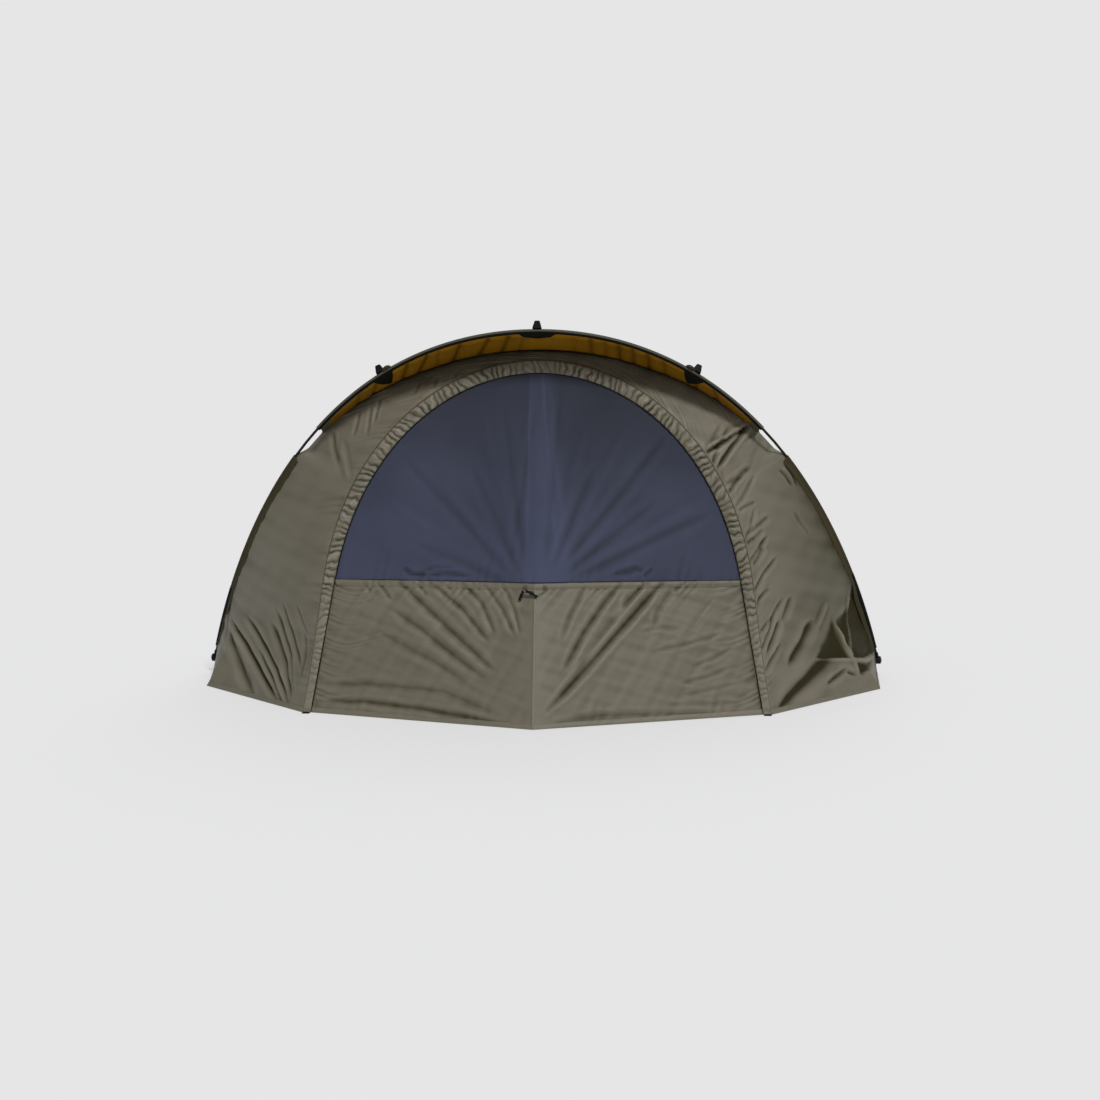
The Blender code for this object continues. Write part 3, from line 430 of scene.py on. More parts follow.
def mesh_object(name, bm, materials, body):
    """Turns a bmesh into a finished object that rides on a body."""
    data = bpy.data.meshes.new(name)
    bm.to_mesh(data)
    bm.free()
    made = bpy.data.objects.new(name, data)
    bpy.context.scene.collection.objects.link(made)
    for material in materials:
        data.materials.append(material)
    if body:
        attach(made, body)
    return made


def sew(name, cloth, coats, body, thickness=None, gone=None):
    """Makes the sheet's mesh, its weave coordinates and its thickness.

    coats names the finish of its outside, and of its inside where that differs.
    gone tells which cells to cut out.
    """
    rows, columns = cloth.p.shape[:2]
    bm = bmesh.new()
    bmesh.ops.create_grid(bm, x_segments=columns - 1, y_segments=rows - 1, size=1)
    places = {}
    for vert in bm.verts:
        i = round((vert.co.x + 1) / 2 * (columns - 1))
        j = round((vert.co.y + 1) / 2 * (rows - 1))
        places[vert.index] = (j, i)
        vert.co = cloth.p[j, i]
    bm.normal_update()
    weave = bm.loops.layers.uv.new("weave")
    # The fold attribute carries each point's painted shade and light to its finish
    fold = bm.verts.layers.float.new("fold")
    hollows = cloth.hollows()
    for vert in bm.verts:
        vert[fold] = hollows[places[vert.index]]
    towards = 0.0
    for face in bm.faces:
        face.smooth = True
        for loop in face.loops:
            j, i = places[loop.vert.index]
            loop[weave].uv = (cloth.left[j, i], cloth.low[j, i])
        j, i = places[face.loops[0].vert.index]
        towards += face.normal.dot(Vector(cloth.n[j, i]))
    if towards < 0:
        bmesh.ops.reverse_faces(bm, faces=bm.faces)
    if gone:
        out = [f for f in bm.faces if gone(*[
            sum(places[v.index][k] for v in f.verts) / len(f.verts) for k in (0, 1)])]
        bmesh.ops.delete(bm, geom=out, context="FACES")
    made = mesh_object(name, bm, [finish(coat) for coat in coats], body)
    skin = made.modifiers.new("cloth", "SOLIDIFY")
    skin.thickness = thickness or sizes().cloth
    skin.offset = 0
    skin.material_offset = len(coats) - 1
    return made


def swept(name, stations, profile, coat, body, swell_by=None):
    """Sweeps a closed profile along stations of (point, across, out).

    A profile point is (across, out) in metres.

    swell_by makes the profile larger or smaller at each station.
    """
    turns = len(profile)
    bm = bmesh.new()
    bmesh.ops.create_grid(bm, x_segments=turns, y_segments=len(stations) - 1, size=1)
    weave = bm.loops.layers.uv.new("weave")
    run = [0.0]
    for before, after in zip(stations, stations[1:]):
        run.append(run[-1] + (after[0] - before[0]).length)
    girth = [0.0]
    for a, b in zip(profile, profile[1:] + profile[:1]):
        girth.append(girth[-1] + math.hypot(a[0] - b[0], a[1] - b[1]))
    places = {}
    for vert in bm.verts:
        i = round((vert.co.x + 1) / 2 * turns)
        j = round((vert.co.y + 1) / 2 * (len(stations) - 1))
        places[vert.index] = (run[j], girth[i])
        point, across, out = stations[j]
        a, b = profile[i % turns]
        size = swell_by[j] if swell_by else 1.0
        vert.co = point + across * a * size + out * b * size
    for face in bm.faces:
        face.smooth = True
        for loop in face.loops:
            loop[weave].uv = places[loop.vert.index]
    bmesh.ops.remove_doubles(bm, verts=bm.verts, dist=1e-6)
    bmesh.ops.holes_fill(bm, edges=bm.edges, sides=0)
    bmesh.ops.recalc_face_normals(bm, faces=bm.faces)
    return mesh_object(name, bm, [finish(coat)], body)


def ring(radius, count=10, centre=(0.0, 0.0), squash=1.0):
    """A round profile."""
    turns = [2 * math.pi * k / count for k in range(count)]
    return [(centre[0] + radius * math.cos(t), centre[1] + radius * squash * math.sin(t)) for t in turns]


def strip(width, thickness, lift=0.0, start=0.0):
    """A flat profile with softened edges, lying on the surface."""
    edge, end, top = thickness / 2, start + width, lift + thickness
    return [
        (start, lift), (end, lift), (end + edge / 2, lift + edge), (end - edge, top), (start + edge, top),
        (start - edge / 2, lift + edge)]


def along_grid(cloth, path):
    """Stations on a cloth through a list of (row, column), the across axis to the left of the path."""
    spots = [cloth.at(*spot) for spot in path]
    made = []
    for k, (point, normal) in enumerate(spots):
        ahead = spots[min(k + 1, len(spots) - 1)][0] - spots[max(k - 1, 0)][0]
        if ahead.length < 1e-9:
            continue
        across = normal.cross(ahead).normalized()
        made.append((point, across, normal))
    return made


def row_of(cloth, row, skip=0):
    """Stations along a row of the cloth's grid, without that many points at each end."""
    return along_grid(cloth, [(row, column) for column in range(skip, len(cloth.across) - skip)])


def column_of(cloth, column, every=1):
    """Stations along a column of the cloth's grid."""
    return along_grid(cloth, [(row, column) for row in range(0, len(cloth.along), every)])


def index_at(value, places):
    """Where a value lies in a rising list of places."""
    return float(np.interp(value, places, range(len(places))))


def seam(name, stations, body, width=None, thickness=SEAM_HEIGHT):
    """A flat felled seam, centred on its stations."""
    width = width or sizes().seam_width
    return swept(name, stations, strip(width, thickness, sizes().cloth / 2, -width / 2), OXFORD, body)


def edge_tape(name, cloth, row, width, height, coat, body, columns=None, lift=None):
    """A tape or hem on the first row, 0, or the last row, -1, of a cloth, on the side towards its middle."""
    row %= len(cloth.along)
    columns = columns or range(len(cloth.across))
    stations = along_grid(cloth, [(row, column) for column in columns])
    centre = columns[len(columns) // 2]
    inward = Vector(cloth.p[abs(row - 3), centre] - cloth.p[row, centre])
    start = 0.0 if stations[len(stations) // 2][1].dot(inward) > 0 else -width
    return swept(name, stations, strip(width, height, lift or sizes().cloth / 2, start), coat, body)


# Creases

def beside_line(x, z, start, end):
    """How far each point lies beside a straight line, and its share of the way along it."""
    (x0, z0), (x1, z1) = start, end
    share = np.clip(((x - x0) * (x1 - x0) + (z - z0) * (z1 - z0)) / math.dist(start, end) ** 2, 0, 1)
    return np.hypot(x - x0 - share * (x1 - x0), z - z0 - share * (z1 - z0)), share


def crease_height(x, z, creases, opening=5):
    """Height of long creases along bent lines: sharp in the valley, with a soft swell to each side of it.

    A large opening brings a crease to its full depth close to its first point.
    """
    total = np.zeros_like(x)
    for points, width, height in creases:
        best, along = np.full(x.shape, 1e3), np.zeros_like(x)
        runs = [math.dist(a, b) for a, b in zip(points, points[1:])]
        before = 0.0
        for start, end, run in zip(points, points[1:], runs):
            off, share = beside_line(x, z, start, end)
            along = np.where(off < best, (before + share * run) / sum(runs), along)
            best = np.minimum(best, off)
            before += run
        body = eased(along * opening) * eased((1 - along) * 4)
        off = best / (0.85 * width * (0.5 + 0.5 * body))
        total += 0.75 * height * body * (np.exp(-off ** 1.25) - 0.42 * np.exp(-(off - 1.9) ** 2))
    return total


def fan(x, z, first, last, count, near, far, width, height):
    """Creases that run out from a point, between two angles in degrees."""
    made = []
    for k in range(count):
        swing = 0.25 * math.sin(k * 2.4 + x * 7 + z * 3)
        angle = math.radians(first + (last - first) * (k + swing) / max(count - 1, 1))
        reach = far * (1 + 0.22 * math.sin(k * 1.7 + 0.6))
        rise = height * (0.75 + 0.35 * math.sin(k * 3.1 + 1)) * (1 if k % 2 else -0.8)
        ends = [(x + d * math.cos(angle), z + d * math.sin(angle)) for d in (near, reach)]
        made.append((ends, width, rise))
    return made


def uneven(run, pitch, seed=0.0):
    """A wave with an uneven pitch, from -1 to 1."""
    turn = run / pitch
    bent = turn + 0.42 * np.sin(turn * 1.7 + seed) + 0.3 * np.sin(turn * 0.61 + 2 * seed)
    return np.sin(2 * math.pi * bent) * (0.75 + 0.25 * np.sin(turn * 2.3 + seed * 1.3))


def puckers(run, away, pitch, reach, height, seed=0.0):
    """Small puckers that stand square to a seam and die away from it."""
    fade = np.exp(-away / reach * (1 + 0.4 * np.sin(run / pitch * 0.9 + seed)))
    return height * uneven(run, pitch, seed) * fade


def swell(x, z, length, height, seed=0.0):
    """Broad unevenness of slack cloth."""
    a = np.sin(2 * math.pi * (x * 0.83 + z * 0.31) / length + seed)
    b = np.sin(2 * math.pi * (z * 0.94 - x * 0.52) / length * 1.31 + seed * 2.1)
    c = np.sin(2 * math.pi * (x * 0.41 + z * 1.27) / length * 1.77 + seed * 0.7)
    return height * (a * b + 0.5 * c)


# Finishes

def add_node(tree, kind, inputs=None, **settings):
    """Adds a node with its settings, its values and its links."""
    made = tree.nodes.new(kind)
    for name, value in settings.items():
        setattr(made, name, value)
    for name, value in (inputs or {}).items():
        if isinstance(value, bpy.types.NodeSocket):
            tree.links.new(value, made.inputs[name])
        else:
            made.inputs[name].default_value = value
    return made


def new_material(name):
    """A material with its tree and its Principled shader."""
    made = bpy.data.materials.new(name)
    made.use_nodes = True
    return made, made.node_tree, made.node_tree.nodes["Principled BSDF"]


def scaled(colour, factor):
    return tuple(min(c * factor, 1.0) for c in colour[:3]) + (1.0,)


def mixed_colour(tree, share, low, high):
    """A colour that goes from low to high with the share."""
    made = add_node(tree, "ShaderNodeMix", {"Factor": share, 6: low, 7: high}, data_type="RGBA")
    return made.outputs[2]


def ranged(tree, value, low, high, **limits):
    """A value brought from one range to another, from low to high."""
    spans = {name.replace("_", " ").title(): limit for name, limit in limits.items()}
    made = add_node(tree, "ShaderNodeMapRange", {"Value": value, "To Min": low, "To Max": high, **spans})
    return made.outputs["Result"]


def bumped(tree, height, strength, distance, normal=None):
    """The normal that a bump of that height gives, on top of another one."""
    inputs = {"Height": height, "Strength": strength, "Distance": distance}
    if normal is not None:
        inputs["Normal"] = normal
    return add_node(tree, "ShaderNodeBump", inputs).outputs["Normal"]


def woven(name, colour, thread, roughness, depth, cloudy=0.10, crumple=0.0, gloss=0.25, painted_fold_shade=0.40,
          painted_shade_warmth=0.45):
    """Plain weave: two crossing sets of threads for bump and for a slight change of tone, and broad clouding.

    Threads are really 0.3 mm apart and are drawn as coarse as the thread value, so that they show close up.
    Valleys of the folds carry painted shade, deeper and warmer in tone and with less gloss, as light reaches
    them from fewer sides; ridges carry painted light.
    """
    made, tree, shader = new_material(name)
    place = add_node(tree, "ShaderNodeTexCoord")
    threads = []
    for direction in ("X", "Y"):
        wave = add_node(
            tree, "ShaderNodeTexWave",
            {"Vector": place.outputs["UV"], "Scale": math.pi / 10 / thread, "Distortion": 0.6, "Detail": 1.0,
             "Detail Scale": 2.0}, wave_type="BANDS", bands_direction=direction, wave_profile="SIN")
        threads.append(wave.outputs["Fac"])
    weave = add_node(tree, "ShaderNodeMath", {0: threads[0], 1: threads[1]}, operation="MULTIPLY")
    cloud = add_node(
        tree, "ShaderNodeTexNoise",
        {"Vector": place.outputs["Object"], "Scale": 3.1, "Detail": 4.0, "Roughness": 0.55}).outputs["Fac"]
    tone = ranged(tree, cloud, 0, 1, from_min=0.3, from_max=0.7)
    base = mixed_colour(tree, tone, scaled(colour, 1 - cloudy), scaled(colour, 1 + cloudy))
    shade = ranged(tree, weave.outputs["Value"], 0.92, 1.06)
    # Painted shade and light: the fold attribute darkens and warms the valleys and lightens the ridges
    fold = add_node(tree, "ShaderNodeAttribute", attribute_name="fold")
    reach = ranged(tree, fold.outputs["Fac"], 0, 1, from_min=-2.0, from_max=1.0)
    low, high = 1 - painted_fold_shade * 2, 1.12 + painted_fold_shade * 0.8
    deep = mixed_colour(tree, reach, (low, low * 0.96, low * (1 - painted_shade_warmth), 1), (high, high, high, 1))
    shaded = add_node(tree, "ShaderNodeVectorMath", {0: base, "Scale": shade}, operation="SCALE")
    tinted = add_node(
        tree, "ShaderNodeVectorMath", {0: shaded.outputs["Vector"], 1: deep}, operation="MULTIPLY")
    shader.inputs["Specular IOR Level"].default_value = gloss
    # Painted shade on the gloss too: the valleys shine less than the ridges
    shaded_gloss = ranged(tree, reach, gloss * 0.1, gloss, from_max=0.66)
    rough = ranged(tree, cloud, roughness - 0.05, roughness + 0.06, from_min=0.3, from_max=0.7)
    normal = bumped(tree, weave.outputs["Value"], depth, 0.0004)
    if crumple:
        creased = add_node(
            tree, "ShaderNodeTexNoise",
            {"Vector": place.outputs["Object"], "Scale": 21.0, "Detail": 3.0,
             "Roughness": 0.6, "Distortion": 1.2})
        normal = bumped(tree, creased.outputs["Fac"], crumple, 0.004, normal)
    tree.links.new(shaded_gloss, shader.inputs["Specular IOR Level"])
    tree.links.new(tinted.outputs["Vector"], shader.inputs["Base Color"])
    tree.links.new(rough, shader.inputs["Roughness"])
    tree.links.new(normal, shader.inputs["Normal"])
    return made


def moulded(name, colour, roughness, grain, depth=0.12, metallic=0.0, coat=0.0):
    """Moulded or drawn stock: a fine spark-eroded grain in the bump, with patches of rub in the roughness."""
    made, tree, shader = new_material(name)
    spot = add_node(tree, "ShaderNodeTexCoord").outputs["Object"]
    fine = add_node(tree, "ShaderNodeTexNoise", {"Vector": spot, "Scale": 1 / grain, "Detail": 3.0})
    broad = add_node(
        tree, "ShaderNodeTexNoise",
        {"Vector": spot, "Scale": 26.0, "Detail": 5.0, "Roughness": 0.6}).outputs["Fac"]
    rough = ranged(tree, broad, roughness - 0.08, roughness + 0.12, from_min=0.3, from_max=0.75)
    base = mixed_colour(tree, broad, scaled(colour, 0.8), scaled(colour, 1.25))
    tree.links.new(rough, shader.inputs["Roughness"])
    tree.links.new(base, shader.inputs["Base Color"])
    tree.links.new(bumped(tree, fine.outputs["Fac"], depth, 0.0003), shader.inputs["Normal"])
    shader.inputs["Metallic"].default_value = metallic
    shader.inputs["Specular IOR Level"].default_value = 0.5 if metallic else 0.12
    shader.inputs["Coat Weight"].default_value = coat
    return made


finishes = {}


def finish(name):
    """The named finish, made the first time it is asked for."""
    if name in finishes:
        return finishes[name]
    c, thread = colours(), sizes().thread
    if name == OXFORD:
        # Coated on the inside, so the outside has a slight silky gloss over a plain weave
        made = woven(name, c.olive, thread, 0.46, 0.5, cloudy=0.07, crumple=0.22, gloss=0.32)
    elif name == "gathered_oxford":
        # The same cloth drawn up tightly, with deeper painted shade in its pockets, where hardly any light
        # reaches
        made = woven(name, c.olive, thread, 0.46, 0.5, cloudy=0.12, crumple=0.3, gloss=0.4, painted_fold_shade=0.42)
    elif name == COATED_BACK:
        # The coating fills the weave, so this side is smoother and shines more
        made = woven(
            name, c.amber, thread, 0.45, 0.25, cloudy=0.18, crumple=0.15, gloss=0.2, painted_fold_shade=0.42, painted_shade_warmth=0.2)
    elif name == NETTING:
        # Dull yarn with holes between the stitches, so the tone is broken up and nearly without gloss
        made = woven(
            name, c.netting, sizes().mesh, 0.75, 0.8, cloudy=0.12, gloss=0.08, painted_fold_shade=0.26, painted_shade_warmth=0.5)
    elif name == WEBBING:
        # Ribbed narrow weave, duller than the cloth
        made = woven(name, c.webbing, thread, 0.66, 0.9, cloudy=0.15, gloss=0.15)
    elif name == "brow_sleeve_cloth":
        # The same cloth doubled over the pole, weathered a little greyer by the sun
        made = woven(name, c.sleeve, thread, 0.6, 0.6, gloss=0.15)
    elif name == "painted_slider":
        # Cast slider painted to match the cloth
        made = moulded(name, scaled(c.olive, 0.6), 0.5, 0.0009)
    elif name == "braided_cord":
        # Thin braided cord, grey from wear
        made = woven(name, scaled(c.sleeve, 1.5), thread / 3, 0.7, 0.9, gloss=0.15)
    elif name == "dark_netting_binding":
        # Narrow binding that shows as a thin blue black line along the netting
        made = woven(name, scaled(c.netting, 0.35), thread, 0.7, 0.6, gloss=0.08)
    elif name == BLACK_CLOTH:
        # A second layer of heavy black cloth
        made = woven(name, c.patch, thread, 0.7, 0.6, gloss=0.08)
    elif name == "heavy_groundsheet":
        # Thick coated cloth with a pebbled, half dull face
        made = woven(name, c.groundsheet, thread * 2, 0.5, 0.8, crumple=0.3)
    elif name == "black_webbing":
        # Flat strap of heavy nylon yarn
        made = woven(name, c.nylon, thread, 0.7, 1.0, gloss=0.12)
    elif name == "moulded_black_nylon":
        # Glass filled nylon from a spark-eroded mould, half dull with soft highlights
        made = moulded(name, c.nylon, 0.5, 0.0009)
    elif name == "pultruded_glass_fibre":
        # Drawn rod with a thin resin skin that shines along its length
        made = moulded(name, c.fibre, 0.30, 0.0012, 0.05, coat=0.2)
    elif name == "zinc_plated_steel":
        # Bright plated pins, slightly clouded by the plating
        made = moulded(name, srgb("9a9da2"), 0.32, 0.0015, 0.05, metallic=1.0)
    else:
        raise ValueError(f"no finish is named {name}")
    finishes[name] = made
    return made


def repaint(node, name):
    """Gives a shown part of the frame its finish."""
    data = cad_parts[node].data
    data.materials.clear()
    data.materials.append(finish(name))
    for face in data.polygons:
        face.material_index = 0


# Canopy

def canopy_front(s):
    """The roof's front edge: on the hoop sleeve, or behind the bare stretch of pole."""
    return sleeve_edge(s).lerp(middle(s), bite_share(s))


def canopy(s, v):
    """The roof from its front edge at 0, over the middle rib at 1, to the trailing edge at 2."""
    if v <= 1:
        return canopy_front(s).lerp(middle(s), v)
    return middle(s).lerp(trail(s), v - 1)


def dense_places(count):
    """Places across the whole arc, closer together beside the bare stretches of pole."""
    near, far = GAP_TOP - 0.015, GAP_BOTTOM + 0.008
    return both_ways(steps(0, near, count)[:-1] + steps(near, far, 30)[:-1] + steps(far, FOOT, count - 10))


# Metres to one unit of v between the ribs, and to one unit of s along them
RIB_GAP = 0.45
RIB_RUN = 2.2

# Depth of the sags, the thickness of the lining, and how far it, the corners and the patches lie below
ROOF_SAG = 0.006
BRIM_SAG = 0.0085
LINING_THICKNESS = 0.0008
LINING_GAP = 0.0004
CORNER_DROP = 0.0060
PATCH_DROP = (0.0045, 0.0155)

# The pocket inboard of a side bar: half its length, its reach, height and lift
POCKET_HALF = 0.021
POCKET_REACH = 0.019
POCKET_HEIGHT = 0.0135
POCKET_LIFT = 0.006
CORNER_REACH = 0.130


# Half the width of a patch under a bar cap, and how far it reaches to the wall
SIDE_PATCH = (0.023, 0.48)
CENTRE_PATCH = (0.034, 0.14)

# Creases of the brow lining: across at the wall, across at the hoop, width and depth, which sets both their
# relief and their painted shade
BROW_GROOVES = tuple((a, b, 0.0070, d) for a, b, d in (
    (-0.512, -0.470, 0.9), (-0.452, -0.396, 1.0), (-0.382, -0.355, 0.5), (-0.322, -0.276, 1.0),
    (-0.224, -0.172, 1.0), (-0.138, -0.100, 0.9), (-0.075, -0.044, 0.5), (-0.620, -0.590, 0.7),
    (-0.680, -0.655, 0.5))) + tuple((a, b, 0.0080, d) for a, b, d in (
        (0.195, 0.190, 0.7), (0.247, 0.241, 0.5), (0.300, 0.290, 0.8),
        (0.350, 0.340, 0.7), (0.408, 0.395, 0.8),
        (0.468, 0.452, 0.5), (0.130, 0.128, 0.3), (0.585, 0.560, 0.6), (0.660, 0.640, 0.6)))


class BIVVY_OT_canopy(bpy.types.Operator):
    """Sew the roof that the hood carries, with its seams, binding and brow lining"""
    bl_idname = "bivvy.canopy"
    bl_label = "Canopy"

    def execute(self, context):
        cloth = Cloth(canopy, dense_places(88), steps(0, 1, 34) + steps(1, 2, 40)[1:])
        s, v = np.abs(cloth.s), cloth.v
        # The brow is taut as far as the wall's seam, and the roof sags only behind it
        sagging = np.where(v < 1, np.clip((v - BROW_SHARE - 0.03) / (0.97 - BROW_SHARE), 0, 1), v - 1)
        between = np.sin(math.pi * sagging) ** 2
        foot = eased((s - 0.55) / 0.35)
        height = -ROOF_SAG * between * (1 - foot)
        height += 0.0035 * between * foot * np.sin(v * 9.5 + 3 * s)
        height += swell(cloth.x, cloth.p[..., 1], 0.55, 0.0012, 0.4) * between
        for edge in (0.0, 1.0, 2.0):
            away = np.abs(v - edge) * RIB_GAP
            height += puckers(cloth.left, away, 0.035, 0.030, 0.0012, edge) * (0.25 + 0.75 * between)
        height += puckers(cloth.low, np.abs(s - GORE_PLACE) * RIB_RUN, 0.03, 0.025, 0.0012, 2.0) * between
        cloth.raise_by(height)
        made = sew("hood_canopy", cloth, LINED_OXFORD, "hood")
        gores = [f"roof_{part}_{side}" for part in ("front", "rear") for side in THREE]
        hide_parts("brow_panel", *gores)
        self.seams(cloth)
        self.lining()
        self.corners()
        self.patches()
        return {"FINISHED"}

    def seams(self, cloth):
        """Felled seams along the gores and over the middle rib, and tapes on the free edges."""
        made = []
        for side, name in SIDES:
            gore = column_of(cloth, index_at(side * GORE_PLACE, cloth.across))
            made.append(seam(f"gore_seam_{name}", gore, "hood"))
        made.append(seam("rib_seam", row_of(cloth, index_at(1.0, cloth.along), 2), "hood"))
        width = sizes().binding_width
        made.append(edge_tape("trailing_hem", cloth, -1, width, TAPE_HEIGHT, WEBBING, "hood"))
        for side, name in SIDES:
            low, high = sorted((side * (GAP_TOP - 0.012), side * (GAP_BOTTOM + 0.004)))
            bite = [k for k, s in enumerate(cloth.across) if low <= s <= high]
            made.append(edge_tape(f"bite_binding_{name}", cloth, 0, width, HEM_HEIGHT, WEBBING, "hood", bite))
        return made

    def lining(self):
        """The coated underside of the brow, with slanting creases."""
        end = GAP_TOP - 0.006
        cloth = Cloth(lambda s, v: under_brow(s, 0.04 + 0.90 * v), steps(-end, end, 260), steps(0, 1, 26))
        cloth.raise_by(-sizes().cloth - LINING_GAP)
        x, v = cloth.p[..., 0], cloth.v
        grooves = np.zeros_like(x)
        for at_wall, at_hoop, width, depth in BROW_GROOVES:
            off = np.abs(x - at_wall - (at_hoop - at_wall) * (1 - v)) / width
            grooves = np.maximum(grooves, depth * np.exp(-off ** 1.2))
        fine = (0.5 + 0.5 * uneven(cloth.left + 0.3 * cloth.low, 0.031, 2.0)) ** 4
        hang = BRIM_SAG * (1 - 0.8 * grooves) + 0.0015 * fine
        hang *= eased(v / 0.16) * eased((1 - v) / 0.12) * eased(np.minimum(cloth.left, cloth.right) / 0.08)
        # Painted shade in the creases, and painted light growing towards the hoop
        cloth.tone = -2.6 * grooves * eased(v / 0.10) + 0.25 * (1 - v)
        cloth.raise_by(-hang)
        made = sew("brow_underside", cloth, [COATED_BACK], "hood", LINING_THICKNESS)
        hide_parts("brow_lining")

    def corners(self):
        """Doubled cloth in the two corners of the brow."""
        for side, name in SIDES:
            def corner(a, v, side=side):
                s = side * (GAP_TOP - 0.003 - CORNER_REACH * (1 - a) * (1 - 0.35 * v))
                return under_brow(s, 0.02 + 0.94 * v)

            cloth = Cloth(corner, steps(0, 1, 24), steps(0, 1, 12))
            cloth.raise_by(-CORNER_DROP)
            # Painted shade: the corners lie under the brow, so they are drawn deeper in tone
            cloth.tone -= 0.7
            made = sew(f"brow_corner_{name}", cloth, [OXFORD], "hood", 0.0010)

    def patches(self):
        """Dark reinforcing patches under the brow, one below each bar cap."""
        for place, name in zip((-BAR_PLACE, 0.0, BAR_PLACE), THREE):
            half, reach = SIDE_PATCH if place else CENTRE_PATCH
            slant = 0.35 if place else 0.0

            def patch(a, v, place=place, half=half, reach=reach, slant=slant):
                s = place + math.copysign(half, place) * (a * (1 - 0.9 * v) - slant * v)
                return under_brow(s, reach * v * brow_share(0) / brow_share(s) - 0.01)

            cloth = Cloth(patch, steps(-1, 1, 16), steps(0, 1, 12))
            cloth.raise_by(-PATCH_DROP[0] - (PATCH_DROP[1] - PATCH_DROP[0]) * eased(cloth.v * 2.2))
            made = sew(f"brow_patch_{name}", cloth, [BLACK_CLOTH], "hood", 0.0012)
            if place:
                self.pocket(place, name)

    def pocket(self, place, name):
        """The small domed pocket of cloth on the brow sleeve, inboard of a side bar's cap."""
        s = place - math.copysign(0.0125, place)
        start, _, out = on_hoop(s, middle(s), UP)
        towards = (middle(s) - start).normalized()
        stations, sizes_along = [], []
        for share in steps(-0.98, 0.98, 14):
            stations.append((start + hoop_run(s) * POCKET_HALF * share + out * POCKET_LIFT, towards, out))
            sizes_along.append(math.sqrt(1 - share * share))
        turns = [math.pi * k / 12 for k in range(13)]
        dome = [(POCKET_REACH * math.cos(t), POCKET_HEIGHT * math.sin(t)) for t in turns]
        swept(f"bar_pocket_{name}", stations, dome, WEBBING, "hood", sizes_along)


# Front wall

def jamb_place(row):
    """The place on the door arch that a row of the front wall joins."""
    return (0.5 * row if row < 2 else row - 1) / ARCH_ROWS


def rim_place(row):
    """The place on the hoop that a row of the front wall joins."""
    return float(np.interp(len(HALF_PLACES) - row, range(len(HALF_PLACES)), HALF_PLACES))


def rim_point(row):
    """Where a row of the front wall ends: on the rim, or between the heel and the foot of the rim."""
    return HEEL.lerp(wall_line(FOOT), row) if row < 1 else wall_line(rim_place(row))


def rim_clearance(row):
    """How far short of that point the cloth stops."""
    on_sleeve = SLEEVE_CLEAR + sizes().cloth / 2
    if row < 1:
        return on_sleeve * row
    return EDGE_CLEAR + (on_sleeve - EDGE_CLEAR) * ease((rim_place(row) - GAP_BOTTOM) / 0.02 + 1)


def wing(row, v):
    """The front wall beside the door, from the gathered band at 0 to the hoop at 1."""
    near, far = door_plane(*band_edge(jamb_place(row))), rim_point(row)
    end = 1 - rim_clearance(row) / (far - near).length
    point = near.lerp(far, v * end)
    low = max(1 - row / FLARE_ROWS, 0.0)
    if low > 0:
        jamb = door_plane(*band_edge(0))
        if v <= CORNER_SHARE:
            out = jamb.lerp(CORNER, v / CORNER_SHARE)
        else:
            out = CORNER.lerp(HEEL, (v - CORNER_SHARE) / (1 - CORNER_SHARE))
        point = point + (out - jamb.lerp(HEEL, v)) * low * low
    point.z = max(point.z, sizes().cloth / 2)
    return point


WING_TOP = ARCH_ROWS + 1

# Webbing guards on the hoop's feet: where each starts, and their radius
GUARD_TOPS = {"left": 0.835, "right": 0.800}
GUARD_RADIUS = 0.0087


def front_wall(v, a):
    """The whole front wall: a runs from the left ground over the crown to the right ground."""
    return mirrored(wing(WING_TOP - abs(a), v), -1 if a < 0 else 1)


# Creases of the front wall: the places across and up of the points along each, its width, and its height
# Valleys have a height below 0
LEFT_CREASES = (
    (((-1.255, 0.261), (-1.144, 0.180), (-1.014, 0.067), (-0.915, -0.010)), 0.013, -0.0172),
    (((-1.165, 0.291), (-1.073, 0.218), (-0.962, 0.116), (-0.880, -0.010)), 0.011, -0.0148),
    (((-1.024, 0.290), (-0.974, 0.227), (-0.921, 0.149), (-0.882, 0.010)), 0.014, -0.0117),
    (((-0.996, 0.350), (-0.958, 0.278), (-0.900, 0.175), (-0.868, 0.033)), 0.009, -0.0094),
    (((-0.963, 0.368), (-0.908, 0.272), (-0.866, 0.183), (-0.838, 0.123)), 0.009, -0.0086),
    (((-0.890, 0.370), (-0.849, 0.303), (-0.814, 0.258)), 0.006, -0.0055),
    (((-1.263, 0.224), (-1.203, 0.156), (-1.130, 0.071), (-1.036, -0.010)), 0.020, -0.0133),
    (((-1.069, 0.177), (-1.003, 0.108), (-0.910, -0.010)), 0.009, -0.0101),
    (((-0.841, 0.282), (-0.831, 0.220), (-0.847, 0.092)), 0.007, -0.0055),
    (((-1.260, 0.329), (-1.271, 0.258), (-1.263, 0.140)), 0.012, -0.0062),
    (((-0.772, 1.006), (-0.763, 0.934), (-0.732, 0.862)), 0.010, -0.0086),
    (((-0.739, 0.969), (-0.713, 0.883), (-0.687, 0.811)), 0.012, 0.0070),
    (((-0.664, 1.072), (-0.676, 1.005), (-0.684, 0.967)), 0.008, -0.0062),
    (((-0.618, 1.094), (-0.626, 1.036), (-0.629, 0.972)), 0.008, -0.0055),
    (((-0.582, 1.124), (-0.601, 1.054), (-0.607, 1.018)), 0.007, -0.0055),
    (((-0.433, 1.180), (-0.458, 1.122)), 0.007, -0.0047),
    (((-0.368, 1.198), (-0.385, 1.147)), 0.007, -0.0047),
    (((-0.288, 1.222), (-0.310, 1.181)), 0.007, -0.0039),
)
